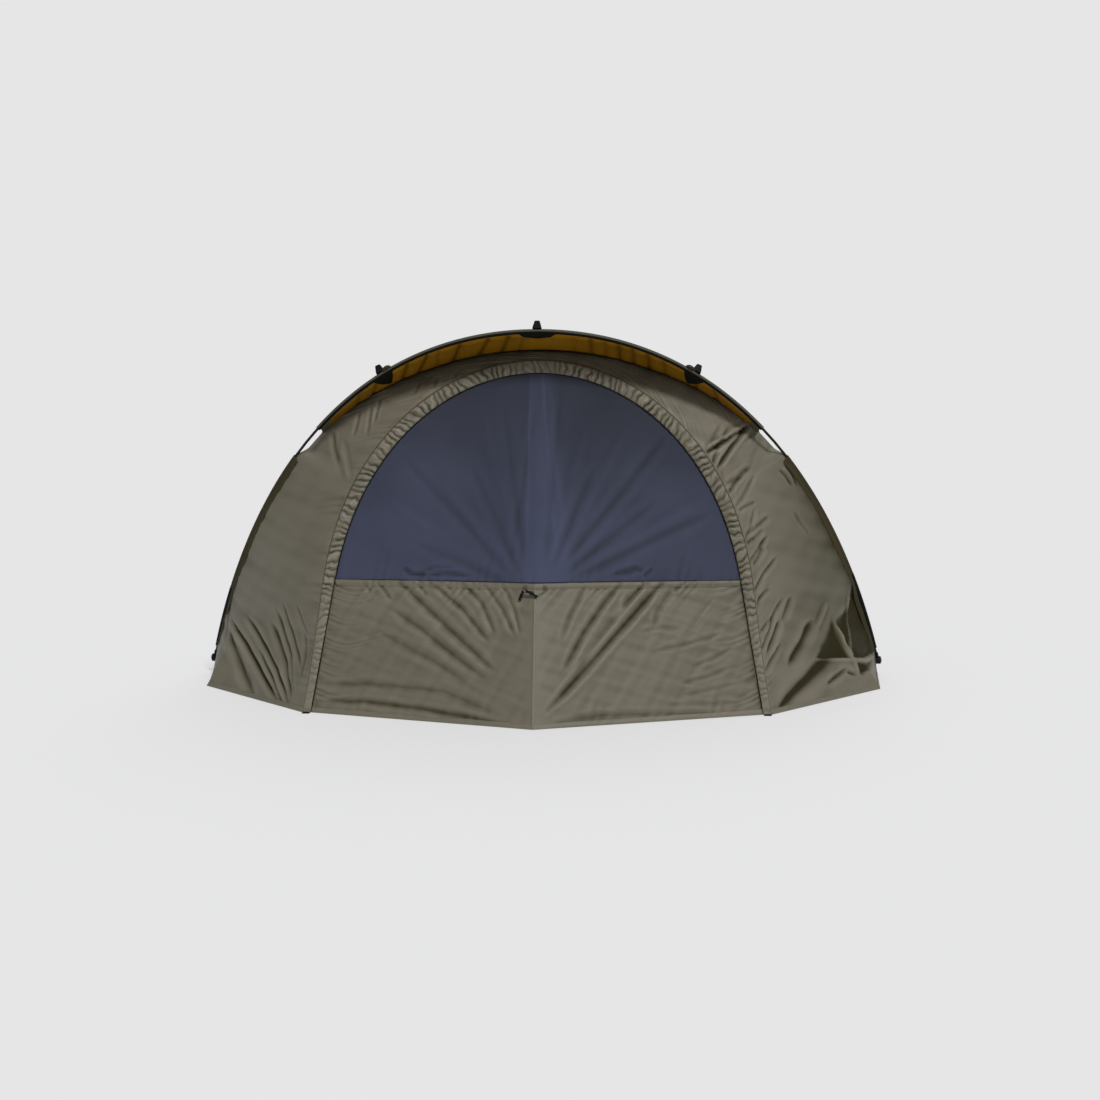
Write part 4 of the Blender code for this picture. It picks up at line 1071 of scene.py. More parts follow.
RIGHT_CREASES = (
    (((0.790, 1.025), (0.685, 0.960), (0.590, 0.906)), 0.009, -0.030),
    (((0.780, 1.015), (0.713, 0.946), (0.640, 0.850)), 0.009, -0.026),
    (((0.775, 1.018), (0.695, 0.975), (0.610, 0.935)), 0.008, 0.010),
    (((0.780, 0.871), (0.722, 0.829), (0.671, 0.795)), 0.010, -0.012),
    (((0.884, 0.857), (0.915, 0.830), (0.948, 0.786)), 0.008, -0.009),
    (((0.904, 0.878), (0.944, 0.829), (0.970, 0.781)), 0.007, -0.007),
    (((0.794, 0.741), (0.741, 0.720), (0.705, 0.702)), 0.008, -0.009),
    (((0.846, 0.690), (0.791, 0.648), (0.746, 0.621)), 0.010, -0.010),
    (((0.941, 0.709), (0.972, 0.653), (1.017, 0.598)), 0.007, -0.004),
    (((0.823, 0.645), (0.778, 0.609), (0.735, 0.585)), 0.009, -0.010),
    (((0.824, 0.584), (0.795, 0.543), (0.765, 0.508)), 0.009, -0.015),
    (((0.840, 0.430), (0.810, 0.410), (0.785, 0.390)), 0.007, -0.008),
    (((0.877, 0.318), (0.848, 0.257), (0.811, 0.196)), 0.012, -0.017),
    (((0.930, 0.395), (0.913, 0.355), (0.880, 0.301)), 0.012, -0.010),
    (((1.024, 0.298), (0.966, 0.213), (0.896, 0.139)), 0.020, -0.018),
    (((1.094, 0.351), (1.069, 0.305), (1.028, 0.244)), 0.009, 0.010),
    (((1.108, 0.285), (1.183, 0.169), (1.232, 0.045)), 0.0060, 0.014),
    (((1.202, 0.390), (1.193, 0.253), (1.186, 0.120)), 0.0055, 0.011),
    (((0.990, 0.154), (1.158, 0.127), (1.350, 0.088)), 0.0060, 0.009),
    (((1.110, 0.150), (1.045, 0.120), (0.965, 0.078), (0.850, 0.010)), 0.030, -0.022),
    (((1.061, 0.054), (1.131, 0.078), (1.175, 0.099)), 0.010, -0.014),
    (((1.163, 0.085), (1.211, 0.064)), 0.008, -0.011),
)

# Sunk parts of the right corner: the corners of each, turning left, how soft each side is, and how deep it
# is, which sets both how far it sinks and its painted shade
SUNK_PARTS = (
    (((1.040, 0.151), (1.190, 0.127), (1.122, 0.268)), (0.010, 0.008, 0.080), 1.9),
    (((1.196, 0.136), (1.206, 0.310), (1.135, 0.266)), (0.008, 0.050, 0.012), 1.7),
    (((1.204, 0.126), (1.345, 0.098), (1.255, 0.400), (1.210, 0.360)), (0.008, 0.030, 0.080, 0.014), 2.0),
    (((1.222, 0.108), (1.232, 0.058), (1.325, 0.086)), (0.012, 0.020, 0.010), 1.3),
)
# A long hollow that runs down from them, drawn only as painted shade: its points and its width
LOW_GROOVE = (((1.075, 0.140), (1.020, 0.108), (0.960, 0.074), (0.868, 0.020)), 0.034)


def within(x, z, corners, soft):
    """1 inside the corners, falling to 0 across each side."""
    inside = np.ones_like(x)
    for (x0, z0), (x1, z1), width in zip(corners, corners[1:] + corners[:1], soft):
        off = ((x1 - x0) * (z - z0) - (z1 - z0) * (x - x0)) / math.hypot(x1 - x0, z1 - z0)
        inside = inside * eased(off / width + 0.4)
    return inside


def near_path(x, z, path, width):
    """1 along a bent line, falling off to both sides, and narrower towards its end."""
    best = np.zeros_like(x)
    for k, (start, end) in enumerate(zip(path, path[1:])):
        off, share = beside_line(x, z, start, end)
        reach = width * (1.1 - 0.8 * (k + share) / (len(path) - 1))
        best = np.maximum(best, np.exp(-(off / reach) ** 2))
    return best


def slanting_folds():
    """Folds that rise from the gathered band across the right wall."""
    made = []
    for k in range(11):
        start = door_plane(*band_edge(0.09 + 0.046 * k + 0.008 * math.sin(k * 2.9)))
        angle = math.radians(50 + 9 * math.sin(k * 2.3) + k)
        reach = 0.110 + 0.080 * abs(math.sin(k * 1.9 + 0.4))
        bent = angle + 0.22 * math.sin(k * 1.3)
        x, z = start.x - 0.012, start.z - 0.010
        middle_x, middle_z = x + reach / 2 * math.cos(angle), z + reach / 2 * math.sin(angle)
        end = (middle_x + reach / 2 * math.cos(bent), middle_z + reach / 2 * math.sin(bent))
        made.append((((x, z), (middle_x, middle_z), end), 0.0080, -0.010 - 0.005 * math.sin(k * 1.7)))
    return made


class BIVVY_OT_front_wall(bpy.types.Operator):
    """Sew the front wall beside and above the door, with its folds, hem and gathered band"""
    bl_idname = "bivvy.front_wall"
    bl_label = "Front Wall"

    def execute(self, context):
        half = steps(0, 6, 50)[:-1] + steps(6, 16, 155)[:-1] + steps(16, WING_TOP, 60)
        cloth = Cloth(front_wall, steps(0, 1, 84), both_ways(half))
        x, z = cloth.x, cloth.z
        height = crease_height(x, z, LEFT_CREASES + RIGHT_CREASES)
        height += crease_height(x, z, fan(0.88, 1.06, 196, 262, 7, 0.02, 0.22, 0.010, 0.003))
        height += crease_height(x, z, slanting_folds())
        for corners, soft, depth in SUNK_PARTS:
            height -= 0.009 * depth * within(x, z, corners, [max(s, 0.022) for s in soft])
        height += swell(x, z, 0.42, 0.0025, 1.1) + swell(x, z, 0.15, 0.0012, 0.4)
        height += puckers(cloth.low, cloth.left, 0.020, 0.022, 0.0022, 0.3) * (np.abs(x) > 0.3)
        height += puckers(cloth.low, cloth.left, 0.043, 0.045, 0.0026, 1.7)
        upper = 1 + 1.3 * eased((z - 0.95) / 0.1)
        height += puckers(cloth.low, cloth.right, 0.030, 0.030, 0.0018, 2.2) * upper
        height *= eased(cloth.left / 0.020) * eased(cloth.right / 0.022)
        height *= eased(np.minimum(cloth.low, cloth.high) / 0.022)
        cloth.raise_by(height)
        cloth.lay_on_ground()
        # Painted shade: the brow's shadow along the wall's top edge, shade along both sleeves, deeper on the
        # right, and a darker lower right of the wall
        cloth.tone = -2.8 * eased((z - 1.00) / 0.10) * np.exp(-cloth.right / 0.018)
        side_shade = np.where(x > 0, 1.7, 0.6) * np.exp(-cloth.right / np.where(x > 0, 0.050, 0.025))
        cloth.tone -= side_shade * eased((0.92 - z) / 0.12)
        cloth.tone -= 0.75 * eased((x - 0.78) / 0.30) * eased((0.92 - z) / 0.30) * eased((z - 0.10) / 0.10)
        # Painted shade along the long hollow and in the sunk parts
        cloth.tone -= 1.9 * near_path(x, z, *LOW_GROOVE)
        for corners, soft, depth in SUNK_PARTS:
            cloth.tone -= 1.3 * depth * within(x, z, corners, soft)
        made = sew("front_wall", cloth, LINED_OXFORD, "hood")
        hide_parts("wing_left", "wing_right")
        hems = [
            edge_tape(f"wall_hem_{name}", cloth, row, sizes().hem_width, HEM_HEIGHT, OXFORD, "hood")
            for row, name in ((0, "left"), (-1, "right"))]
        self.band()
        self.side_sleeves(cloth)
        self.brow_sleeve()
        return {"FINISHED"}

    def band(self):
        """The gathered band round the door arch, tightly and unevenly gathered, with piping at both edges."""
        half = steps(0, 1, 860)
        order = [(-1, t) for t in half] + [(1, t) for t in reversed(half[:-1])]

        def flat_band(v, k):
            side, t = order[k]
            return mirrored(door_plane(*arch(t).lerp(band_edge(t), v)), side)

        cloth = Cloth(flat_band, steps(0, 1, 14), range(len(order)))
        side, place = (np.array(values)[:, None] for values in zip(*order))
        v, run = cloth.s, cloth.low[:, 7:8]
        low = np.where(side > 0, 0.55, 0.38)
        grown = low * eased((place - 0.01) / 0.04) + (1 - low) * eased((place - 0.19) / 0.08)
        grown = grown * (0.62 + 0.38 * (1 - eased((place - 0.84) / 0.12)))
        pitch = sizes().gather_pitch
        turn = run / pitch + 0.26 * np.sin(run * 29.0) + 0.17 * np.sin(run * 83.0 + 1)
        turn = turn + (v - 0.5) * (0.20 + 0.55 * np.sin(run * 23.0 + 0.7)) + 0.07 * np.sin(v * 9 + run * 57)
        folds = np.abs(np.sin(math.pi * turn)) ** 0.7
        hooked = np.abs(np.sin(math.pi * (turn * 1.5 + 0.9 * v + 0.5 * np.sin(run * 37)))) ** 0.6
        fine = np.abs(np.sin(math.pi * (turn * 2.7 - 1.3 * v))) ** 0.6
        fullness = np.sin(math.pi * (0.06 + 0.94 * v)) ** 0.5
        drawn = folds * (0.62 + 0.38 * hooked) * (0.80 + 0.20 * fine)
        drawn *= 0.75 + 0.25 * np.sin(run * 41 + 2 * v) * np.sin(run * 17 + 1)
        height = sizes().gather_depth * fullness * grown * drawn
        height += 0.0012 * fullness + 0.0014 * (1 - grown) * fullness * uneven(run, 0.045, 0.9)
        strength = 0.55 + 0.45 * np.sin(run * 11.3 + 0.4) * np.sin(run * 31.7 + 3 * v)
        # Painted light on the gathers' ridges and painted shade in their pockets, and a painted shadow along
        # the inner edge
        cloth.tone = np.clip((drawn - 0.46) * 4.0, -2, 1.0) * grown * (0.35 + 0.65 * fullness) * strength
        cloth.tone -= 0.7 * np.exp(-v / 0.10) * grown
        ahead = np.gradient(cloth.p, axis=0)
        ahead /= np.linalg.norm(ahead, axis=2, keepdims=True)
        cloth.p += ahead * (0.07 * pitch * fullness * grown * np.sin(2 * math.pi * turn))[..., None]
        cloth.n[...] = Vector((0, -DOOR_TOP_Z, DOOR_TOP_Y - DOOR_FOOT_Y)).normalized()
        cloth.raise_by(height)
        made = sew("gathered_band", cloth, ["gathered_oxford"], "hood", 0.0009)
        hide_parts("ruffle_left", "ruffle_right")
        # The inner piping is drawn black, so it also gives the painted shadow line along the door's edge
        for column, name, coat, share in ((0, "inner", BLACK_CLOTH, 1.0), (14, "outer", WEBBING, 0.7)):
            stations = column_of(cloth, column, 5)
            last = len(stations) - 1
            taper = [0.55 + 0.45 * ease(min(k, last - k) / (last + 1) * 6 - 0.4) for k in range(last + 1)]
            outline = ring(sizes().piping / 2 * share, 8, (0.0, 0.0008))
            swept(f"band_piping_{name}", stations, outline, coat, "hood", taper)
        fullness = sizes().gather_fullness
        cloth.flat, cloth.area = (cloth.flat[0], cloth.flat[1] * fullness), cloth.area * fullness

    def sleeve_outline(self, flange, heights, bend):
        """A sleeve's outline: round the pole, and out to a flat flange that lies between two heights."""
        radius = sizes().sleeve_radius
        turns = [math.radians(22 + (338 - 22) * k / 14) for k in range(15)]
        edge = [(flange, heights[0]), (flange + 0.0004, 0.0016), (flange - 0.001, heights[1]), bend]
        return edge + [(radius * math.cos(t), radius * math.sin(t)) for t in turns] + [(0.010, 0.0009)]

    def side_sleeves(self, wall):
        """Sleeves down both sides of the hoop with a flat flange on the wall, and guards at its feet."""
        outline = self.sleeve_outline(sizes().sleeve_flange, (0.0008, 0.0024), (0.012, 0.0030))
        last = len(wall.across) - 1
        for side, name in SIDES:
            stations = []
            for s in steps(FOOT, GAP_BOTTOM, 90):
                row = len(HALF_PLACES) - index_at(s, HALF_PLACES)
                grid_row = index_at((WING_TOP - row) * side, wall.along)
                _, normal = wall.at(grid_row, last)
                inner, _ = wall.at(grid_row, last - 3)
                stations.append(on_hoop(side * s, inner, normal))
            made = swept(f"side_sleeve_{name}_tube", stations, outline, WEBBING, "hood")
            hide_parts(f"side_sleeve_{name}")
            guard = []
            for s in steps(GUARD_TOPS[name], FOOT, 40):
                run = hoop_run(side * s)
                across = run.cross(Vector((0, -1, 0))).normalized()
                guard.append((hoop(side * s), across, across.cross(run).normalized()))
            swept(f"pole_guard_{name}", guard, ring(GUARD_RADIUS, 14), "black_webbing", "hood")

    def brow_sleeve(self):
        """The sleeve over the brow, with a dark binding on its underside that also draws the painted shadow
        line between sleeve and lining.
        """
        stations = [on_hoop(s, middle(s), UP) for s in steps(-GAP_TOP, GAP_TOP, 180)]
        outline = self.sleeve_outline(sizes().brow_flange, (0.0009, 0.0023), (0.011, 0.0034))
        made = swept("brow_sleeve_tube", stations, outline, "brow_sleeve_cloth", "hood")
        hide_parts("brow_sleeve")
        turns = [math.radians(200 + 90 * k / 8) for k in range(9)]
        near, far = sizes().sleeve_radius + 0.0003, sizes().sleeve_radius + 0.0014
        under = [(near * math.cos(t), near * math.sin(t)) for t in turns]
        under += [(far * math.cos(t), far * math.sin(t)) for t in reversed(turns)]
        swept("brow_binding_shadow_line", stations, under, BLACK_CLOTH, "hood")


# Door

def door(x_share, rise_place):
    """The door's surface: x_share runs from the left jamb at -1 to the right jamb at 1."""
    flat = arch(rise_place)
    edge = flat.x - 0.0020 * (1 - ease(flat.y / DOOR_SILL)) - 0.0008
    outer = mirrored(door_plane(max(edge, 0.0005), flat.y), -1 if x_share < 0 else 1)
    point = ridge(flat.y).lerp(outer, abs(x_share))
    point.z = max(point.z, sizes().cloth / 2)
    return point


# Creases of the door's cloth and of its netting, given in the same way
LOWER_CREASES = (
    (((-0.527, 0.374), (-0.404, 0.305), (-0.278, 0.217), (-0.147, 0.141)), 0.014, -0.015),
    (((-0.490, 0.465), (-0.383, 0.374), (-0.256, 0.271), (-0.119, 0.164)), 0.013, -0.016),
    (((-0.375, 0.465), (-0.258, 0.378), (-0.144, 0.256)), 0.010, -0.013),
    (((-0.260, 0.467), (-0.187, 0.397), (-0.131, 0.286)), 0.009, -0.011),
    (((-0.180, 0.465), (-0.114, 0.381), (-0.060, 0.278)), 0.008, -0.009),
    (((-0.114, 0.467), (-0.074, 0.385), (-0.045, 0.290)), 0.007, -0.007),
    (((-0.790, 0.040), (-0.598, 0.050), (-0.414, 0.042), (-0.060, 0.010)), 0.010, -0.016),
    (((-0.785, 0.098), (-0.568, 0.111), (-0.316, 0.103), (-0.060, 0.020)), 0.013, -0.011),
    (((-0.573, 0.298), (-0.487, 0.256), (-0.352, 0.198), (-0.194, 0.111)), 0.014, -0.009),
    (((-0.570, 0.468), (-0.510, 0.393)), 0.007, -0.008),
    (((-0.618, 0.468), (-0.588, 0.416)), 0.007, -0.006),
    (((-0.432, 0.468), (-0.377, 0.412)), 0.007, -0.007),
    (((-0.325, 0.468), (-0.278, 0.416)), 0.007, -0.007),
    (((-0.220, 0.468), (-0.189, 0.435)), 0.006, -0.006),
    (((0.303, 0.468), (0.242, 0.401), (0.168, 0.301), (0.092, 0.164)), 0.010, -0.014),
    (((0.452, 0.470), (0.351, 0.366), (0.187, 0.195), (0.021, 0.030)), 0.012, -0.021),
    (((0.387, 0.468), (0.333, 0.416), (0.295, 0.374)), 0.009, -0.013),
    (((0.295, 0.374), (0.225, 0.286), (0.131, 0.153)), 0.011, -0.009),
    (((0.175, 0.460), (0.119, 0.351), (0.087, 0.259)), 0.008, -0.007),
    (((0.480, 0.440), (0.428, 0.366), (0.411, 0.305)), 0.009, -0.006),
    (((0.530, 0.468), (0.478, 0.427)), 0.008, -0.010),
    (((0.553, 0.468), (0.501, 0.412)), 0.007, -0.007),
    (((0.585, 0.468), (0.552, 0.443)), 0.006, -0.006),
    (((0.630, 0.468), (0.606, 0.446)), 0.006, -0.005),
    (((0.399, 0.229), (0.541, 0.252), (0.676, 0.286)), 0.007, -0.005),
    (((0.549, 0.175), (0.623, 0.198), (0.698, 0.237)), 0.007, -0.005),
    (((0.497, 0.118), (0.596, 0.137), (0.703, 0.172)), 0.007, -0.005),
    (((0.367, 0.298), (0.441, 0.309), (0.517, 0.301)), 0.007, -0.004),
    (((0.505, 0.080), (0.620, 0.095), (0.723, 0.114)), 0.007, -0.004),
    (((0.437, 0.053), (0.571, 0.050), (0.749, 0.042)), 0.007, -0.004),
    (((0.020, 0.010), (0.226, 0.030), (0.437, 0.024), (0.740, 0.004)), 0.010, -0.008),
)
# Those that start at the sill, and how deep the painted shade is drawn where they start
SILL_CREASES = [crease for crease in LOWER_CREASES if crease[0][0][1] > 0.43]
SILL_OPENING = 40
SILL_SHADE_GAIN = 65

NET_CREASES = (
    (((-0.482, 0.513), (-0.439, 0.488), (-0.377, 0.488)), 0.010, -0.0100),
    (((-0.388, 0.488), (-0.312, 0.495), (-0.223, 0.488)), 0.009, -0.0095),
    (((-0.404, 0.507), (-0.339, 0.513), (-0.278, 0.518)), 0.008, -0.0060),
    (((0.262, 0.488), (0.311, 0.507), (0.377, 0.524)), 0.009, -0.0080),
    (((0.288, 0.488), (0.333, 0.501), (0.389, 0.513)), 0.009, -0.0080),
    (((0.374, 0.482), (0.414, 0.513)), 0.008, -0.0065),
)

# Fans of folds in the netting: centre, first and last angle, count, near and far end, width and height
NET_FANS = (
    (0.03, 0.44, 22, 84, 9, 0.05, 0.62, 0.018, 0.0055),
    (-0.03, 0.44, 96, 158, 7, 0.05, 0.60, 0.018, 0.0040),
    (0.02, 1.25, 262, 278, 4, 0.08, 0.70, 0.014, 0.0030),
)
NET_ROWS = steps(SILL_SHARE + 0.0012, 0.93, 142) + [0.945, 0.958, 0.97, 0.98, 0.988, 0.994, 0.9975]
NET_HEM = 0.011

# The zip along the sill: its stations, its drop below the sill, and the sizes of its coil and flap
ZIP_COUNT = 360
ZIP_DROP = 0.0042
COIL_WIDTH = 0.0034
COIL_HEIGHT = 0.0022
FLAP_HALF = 0.0125
FLAP_LIFT = 0.0056
FLAP_SINK = 0.0006
FOLD_SINK = 0.0030

# Four controls of each toggle's line and of its cord's: across, up, and off the door's face
TOGGLES = {
    "left": (
        ((-0.0385, 0.4370, 0.0100), (-0.0420, 0.4290, 0.0105),
         (-0.0465, 0.4180, 0.0100), (-0.0510, 0.4080, 0.0085)),
        ((-0.0355, 0.4463, 0.0060), (-0.0360, 0.4430, 0.0075),
         (-0.0375, 0.4400, 0.0095), (-0.0390, 0.4360, 0.0100)),
    ),
    "right": (
        ((-0.0330, 0.4390, 0.0105), (-0.0210, 0.4365, 0.0105),
         (-0.0080, 0.4300, 0.0100), (0.0060, 0.4190, 0.0090)),
        ((0.0355, 0.4463, 0.0060), (0.0345, 0.4330, 0.0085),
         (0.0180, 0.4360, 0.0120), (0.0050, 0.4200, 0.0090)),
    ),
}
TOGGLE_RADIUS = 0.0066
CORD_RADIUS = 0.0013


def sill_painted_shade(x, z):
    """Painted shade on the door's cloth from the sill down, deeper where folds start and right of the ridge.
    """
    folds = crease_height(x, z, SILL_CREASES, SILL_OPENING)
    return SILL_SHADE_GAIN * folds - 0.28 - 0.16 * eased(x / 0.08)


class BIVVY_OT_door(bpy.types.Operator):
    """Sew the door: cloth below the sill and netting above it, with its centre seam and zip"""
    bl_idname = "bivvy.door"
    bl_label = "Door"

    def execute(self, context):
        panel = self.lower()
        self.net()
        self.zip(panel)
        return {"FINISHED"}

    def lower(self):
        """The lower panel, with the folds that run from its sill to the foot of the ridge."""
        cloth = Cloth(door, steps(-1, 1, 320), steps(0, SILL_SHARE - 0.0012, 120))
        x, z = cloth.x, cloth.z
        # Wider and shallower than they are drawn in the table, as the cloth hangs slacker below the sill
        slack = [(path, 1.2 * width, 0.72 * depth) for path, width, depth in LOWER_CREASES]
        height = crease_height(x, z, slack)
        height += swell(x, z, 0.12, 0.0011, 0.7) + swell(x, z, 0.07, 0.0006, 1.9)
        height += puckers(cloth.low + 0.02 * np.sin(cloth.left * 19), cloth.left, 0.024, 0.075, 0.0030, 0.6)
        height += puckers(cloth.low, cloth.left, 0.013, 0.03, 0.0016, 2.6)
        height += puckers(cloth.low + 0.03 * np.sin(cloth.right * 15), cloth.right, 0.028, 0.05, 0.0026, 1.9)
        at_sill = cloth.left + cloth.high * 0.6
        height += puckers(at_sill, cloth.high, 0.044, 0.040, 0.0024, 0.2) * (x < 0.62)
        height += puckers(cloth.left, cloth.low, 0.06, 0.03, 0.0018, 1.2)
        height += swell(x, z, 0.36, 0.0015, 2.2)
        height *= eased(cloth.left / 0.008) * eased(cloth.right / 0.008) * eased(cloth.high / 0.012)
        height *= eased(cloth.low / 0.018) * (0.1 + 0.9 * eased(np.abs(x) / 0.05))
        cloth.raise_by(height)
        cloth.lay_on_ground()
        # The folds are tight where they leave the sill, so they get deep painted shade there while still
        # shallow
        cloth.tone = sill_painted_shade(x, z) - SILL_SHADE_GAIN * crease_height(x, z, SILL_CREASES)
        # Painted shadow along both jambs, deeper on the right
        cloth.tone -= np.exp(-cloth.right / 0.010) + 0.5 * np.exp(-cloth.left / 0.008)
        made = sew("door_lower_panel", cloth, LINED_OXFORD, "door")
        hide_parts("door_lower_left", "door_lower_right")
        ridge_line = column_of(cloth, (len(cloth.across) - 1) / 2)
        pieces = [
            seam("ridge_seam", ridge_line, "door", 0.007, 0.0009),
            edge_tape("door_hem", cloth, 0, sizes().hem_width, HEM_HEIGHT, OXFORD, "door")]
        return cloth

    def net(self):
        """The netting above the sill, with painted light along its centre seam and painted shade towards its
        top.
        """
        cloth = Cloth(door, steps(-1, 1, 260), NET_ROWS)
        x, z = cloth.x, cloth.z
        height = crease_height(x, z, NET_CREASES)
        for folds in NET_FANS:
            height += crease_height(x, z, fan(*folds))
        height += puckers(cloth.left, cloth.low, 0.05, 0.05, 0.0016, 0.4)
        height += swell(x, z, 0.5, 0.002, 0.2)
        height *= eased(cloth.left / 0.02) * eased(cloth.right / 0.02) * eased(cloth.low / 0.012)
        height *= eased(cloth.high / 0.03) * (0.15 + 0.85 * eased(np.abs(x) / 0.03))
        cloth.raise_by(height)
        # Painted light in a band and streaks along the centre seam, and painted shade towards the top and the
        # right
        painted_centre_light = eased((x + 0.046 - 0.018 * (z - 0.5)) / 0.008)
        painted_centre_light *= 1 - eased((x - 0.020 - 0.10 * (1.25 - z)) / 0.05)
        painted_light_streaks = 0.5 * np.exp(-((x - 0.09 * (1.35 - z)) / 0.007) ** 2)
        painted_light_streaks += 0.35 * np.exp(-((x + 0.030) / 0.005) ** 2)
        cloth.tone = 0.55 * painted_centre_light + painted_light_streaks * eased((z - 0.55) / 0.1)
        cloth.tone -= 0.85 * eased((z - 0.62) / 0.50) + 0.25 * eased((x + 0.1) / 0.4)
        made = sew("door_net", cloth, [NETTING], "door", NET_THICKNESS)
        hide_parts("door_netting_left", "door_netting_right")
        tape = edge_tape("sill_hem", cloth, 0, NET_HEM, 0.0010, NETTING, "door", lift=NET_THICKNESS / 2)

    def zip(self, panel):
        """The closed zip, its sliders, the flap over it, and the two toggles that hang from the sliders."""
        stations = []
        for x in steps(-DOOR_SILL_HALF * 0.995, DOOR_SILL_HALF * 0.995, ZIP_COUNT):
            point, out = self.on_door(x, DOOR_TOP_Z * DOOR_SILL / DOOR_SLOPE - ZIP_DROP)
            stations.append((point, out.cross(Vector((1, 0, 0))).normalized(), out))
        outline = strip(COIL_WIDTH, COIL_HEIGHT, 0.0008, -COIL_WIDTH / 2)
        coil = swept("sill_coil", stations, outline, WEBBING, "door")
        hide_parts("sill_zip")
        # The flap and the edging above it are narrower at both ends of the sill
        bow = [0.64 + 0.36 * ease(1.15 - abs(share)) for share in steps(-1, 1, ZIP_COUNT)]
        upper = [(p + a * FLAP_HALF * size, a, o) for (p, a, o), size in zip(stations, bow)]
        swept("sill_edging", upper, strip(0.0066, 0.0012, 0.0034, -0.0024), "dark_netting_binding", "door")

        def flap(k, v):
            point, across, out = stations[k]
            rise = FLAP_LIFT * ease(v / 0.6) - FLAP_SINK
            return point + across * FLAP_HALF * (v * (1 + bow[k]) - 1) + out * rise

        cloth = Cloth(flap, range(ZIP_COUNT + 1), steps(0, 1, 10))
        # The panel's painted shade, carried on over the flap
        cloth.tone = sill_painted_shade(cloth.x, cloth.z)
        # The folds of the panel run on over the flap, which lies flat only where the zip is under it
        rise = float(cloth.z[0, 0]) * DOOR_SLOPE / DOOR_TOP_Z
        row = round(rise / DOOR_SILL * (len(panel.along) - 1))
        half = DOOR_FOOT_HALF + (DOOR_SILL_HALF - DOOR_FOOT_HALF) * rise / DOOR_SILL
        relief = np.interp(cloth.x[0] / half, panel.across, panel.raised[row])
        cloth.raise_by(np.maximum(relief, -FOLD_SINK * (1 - eased(cloth.v / 0.3))))
        made = sew("sill_flap", cloth, [OXFORD], "door")
        for side, name in SIDES:
            repaint(f"zip_slider_{name}", "painted_slider")
            self.toggle(name, side, *TOGGLES[name])

    def on_door(self, x, z, off=0.0, side=0):
        """A point that stands off the door's face, and the way the face looks.

        side carries on the plane of the left half, -1, or of the right half, 1, past the ridge.
        """
        y = PROW_Y + (DOOR_TOP_Y - PROW_Y) * z / DOOR_TOP_Z
        back_run = (DOOR_FOOT_Y + (DOOR_TOP_Y - DOOR_FOOT_Y) * z / DOOR_TOP_Z - y) / DOOR_SILL_HALF
        bend = side or math.tanh(x / 0.006)
        out = Vector((back_run * bend, -1, (DOOR_TOP_Y - PROW_Y) / DOOR_TOP_Z)).normalized()
        return Vector((x, y + back_run * (x * side if side else abs(x)), z)) + out * off, out

    def on_curve(self, spots, side, count):
        """Stations along the curve with these four controls, each given on the door's face."""
        line = [self.on_door(*spot, side) for spot in spots]
        points = [cubic([p for p, _ in line], k / count) for k in range(count + 1)]
        stations = []
        for k, point in enumerate(points):
            ahead = (points[min(k + 1, count)] - points[max(k - 1, 0)]).normalized()
            across = line[0][1].cross(ahead).normalized()
            stations.append((point, across, ahead.cross(across).normalized()))
        return stations

    def toggle(self, name, side, spots, cord):
        """A waisted moulded toggle on a short cord, hanging over the cloth from its slider."""
        count = 18
        girth = [0.80 + 0.20 * math.cos(k / count * 4 * math.pi) for k in range(count + 1)]
        girth[0] *= 0.6
        girth[-1] *= 0.6
        body = f"pull_{name}"
        outline = ring(TOGGLE_RADIUS, 14, squash=0.70)
        line = self.on_curve(spots, side, count)
        made = swept(f"pull_toggle_{name}", line, outline, "moulded_black_nylon", body, girth)
        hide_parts(f"zip_pull_{name}")
        line = self.on_curve(cord, side, 10)
        swept(f"pull_loop_{name}", line, ring(CORD_RADIUS, 8), "braided_cord", body)


# Rear

def rear_cover(s, v):
    """The fixed cover: from the rear rib at 0, over the back rib at 1, to the ground at 2."""
    if v <= 1:
        return rear(s).lerp(back(s), v)
    return back(s).lerp(tail(s), v - 1)


def rear_normal(s):
    """The way the rear wall looks at s."""
    normal = (back(s + STEP) - back(s - STEP)).cross(tail(s) - back(s)).normalized()
    return -normal if normal.y < 0 else normal


# Rows of the rear cover between which the vent is cut out, and its awning's first and last row
VENT_ROWS = (1.25, 1.75)
AWNING_ROWS = (1.19, 1.41)

# How far the awning's edge stands off the wall, and how far off it the net and the awning's top lie
AWNING_REACH = 0.045
OFF_WALL = 0.0015


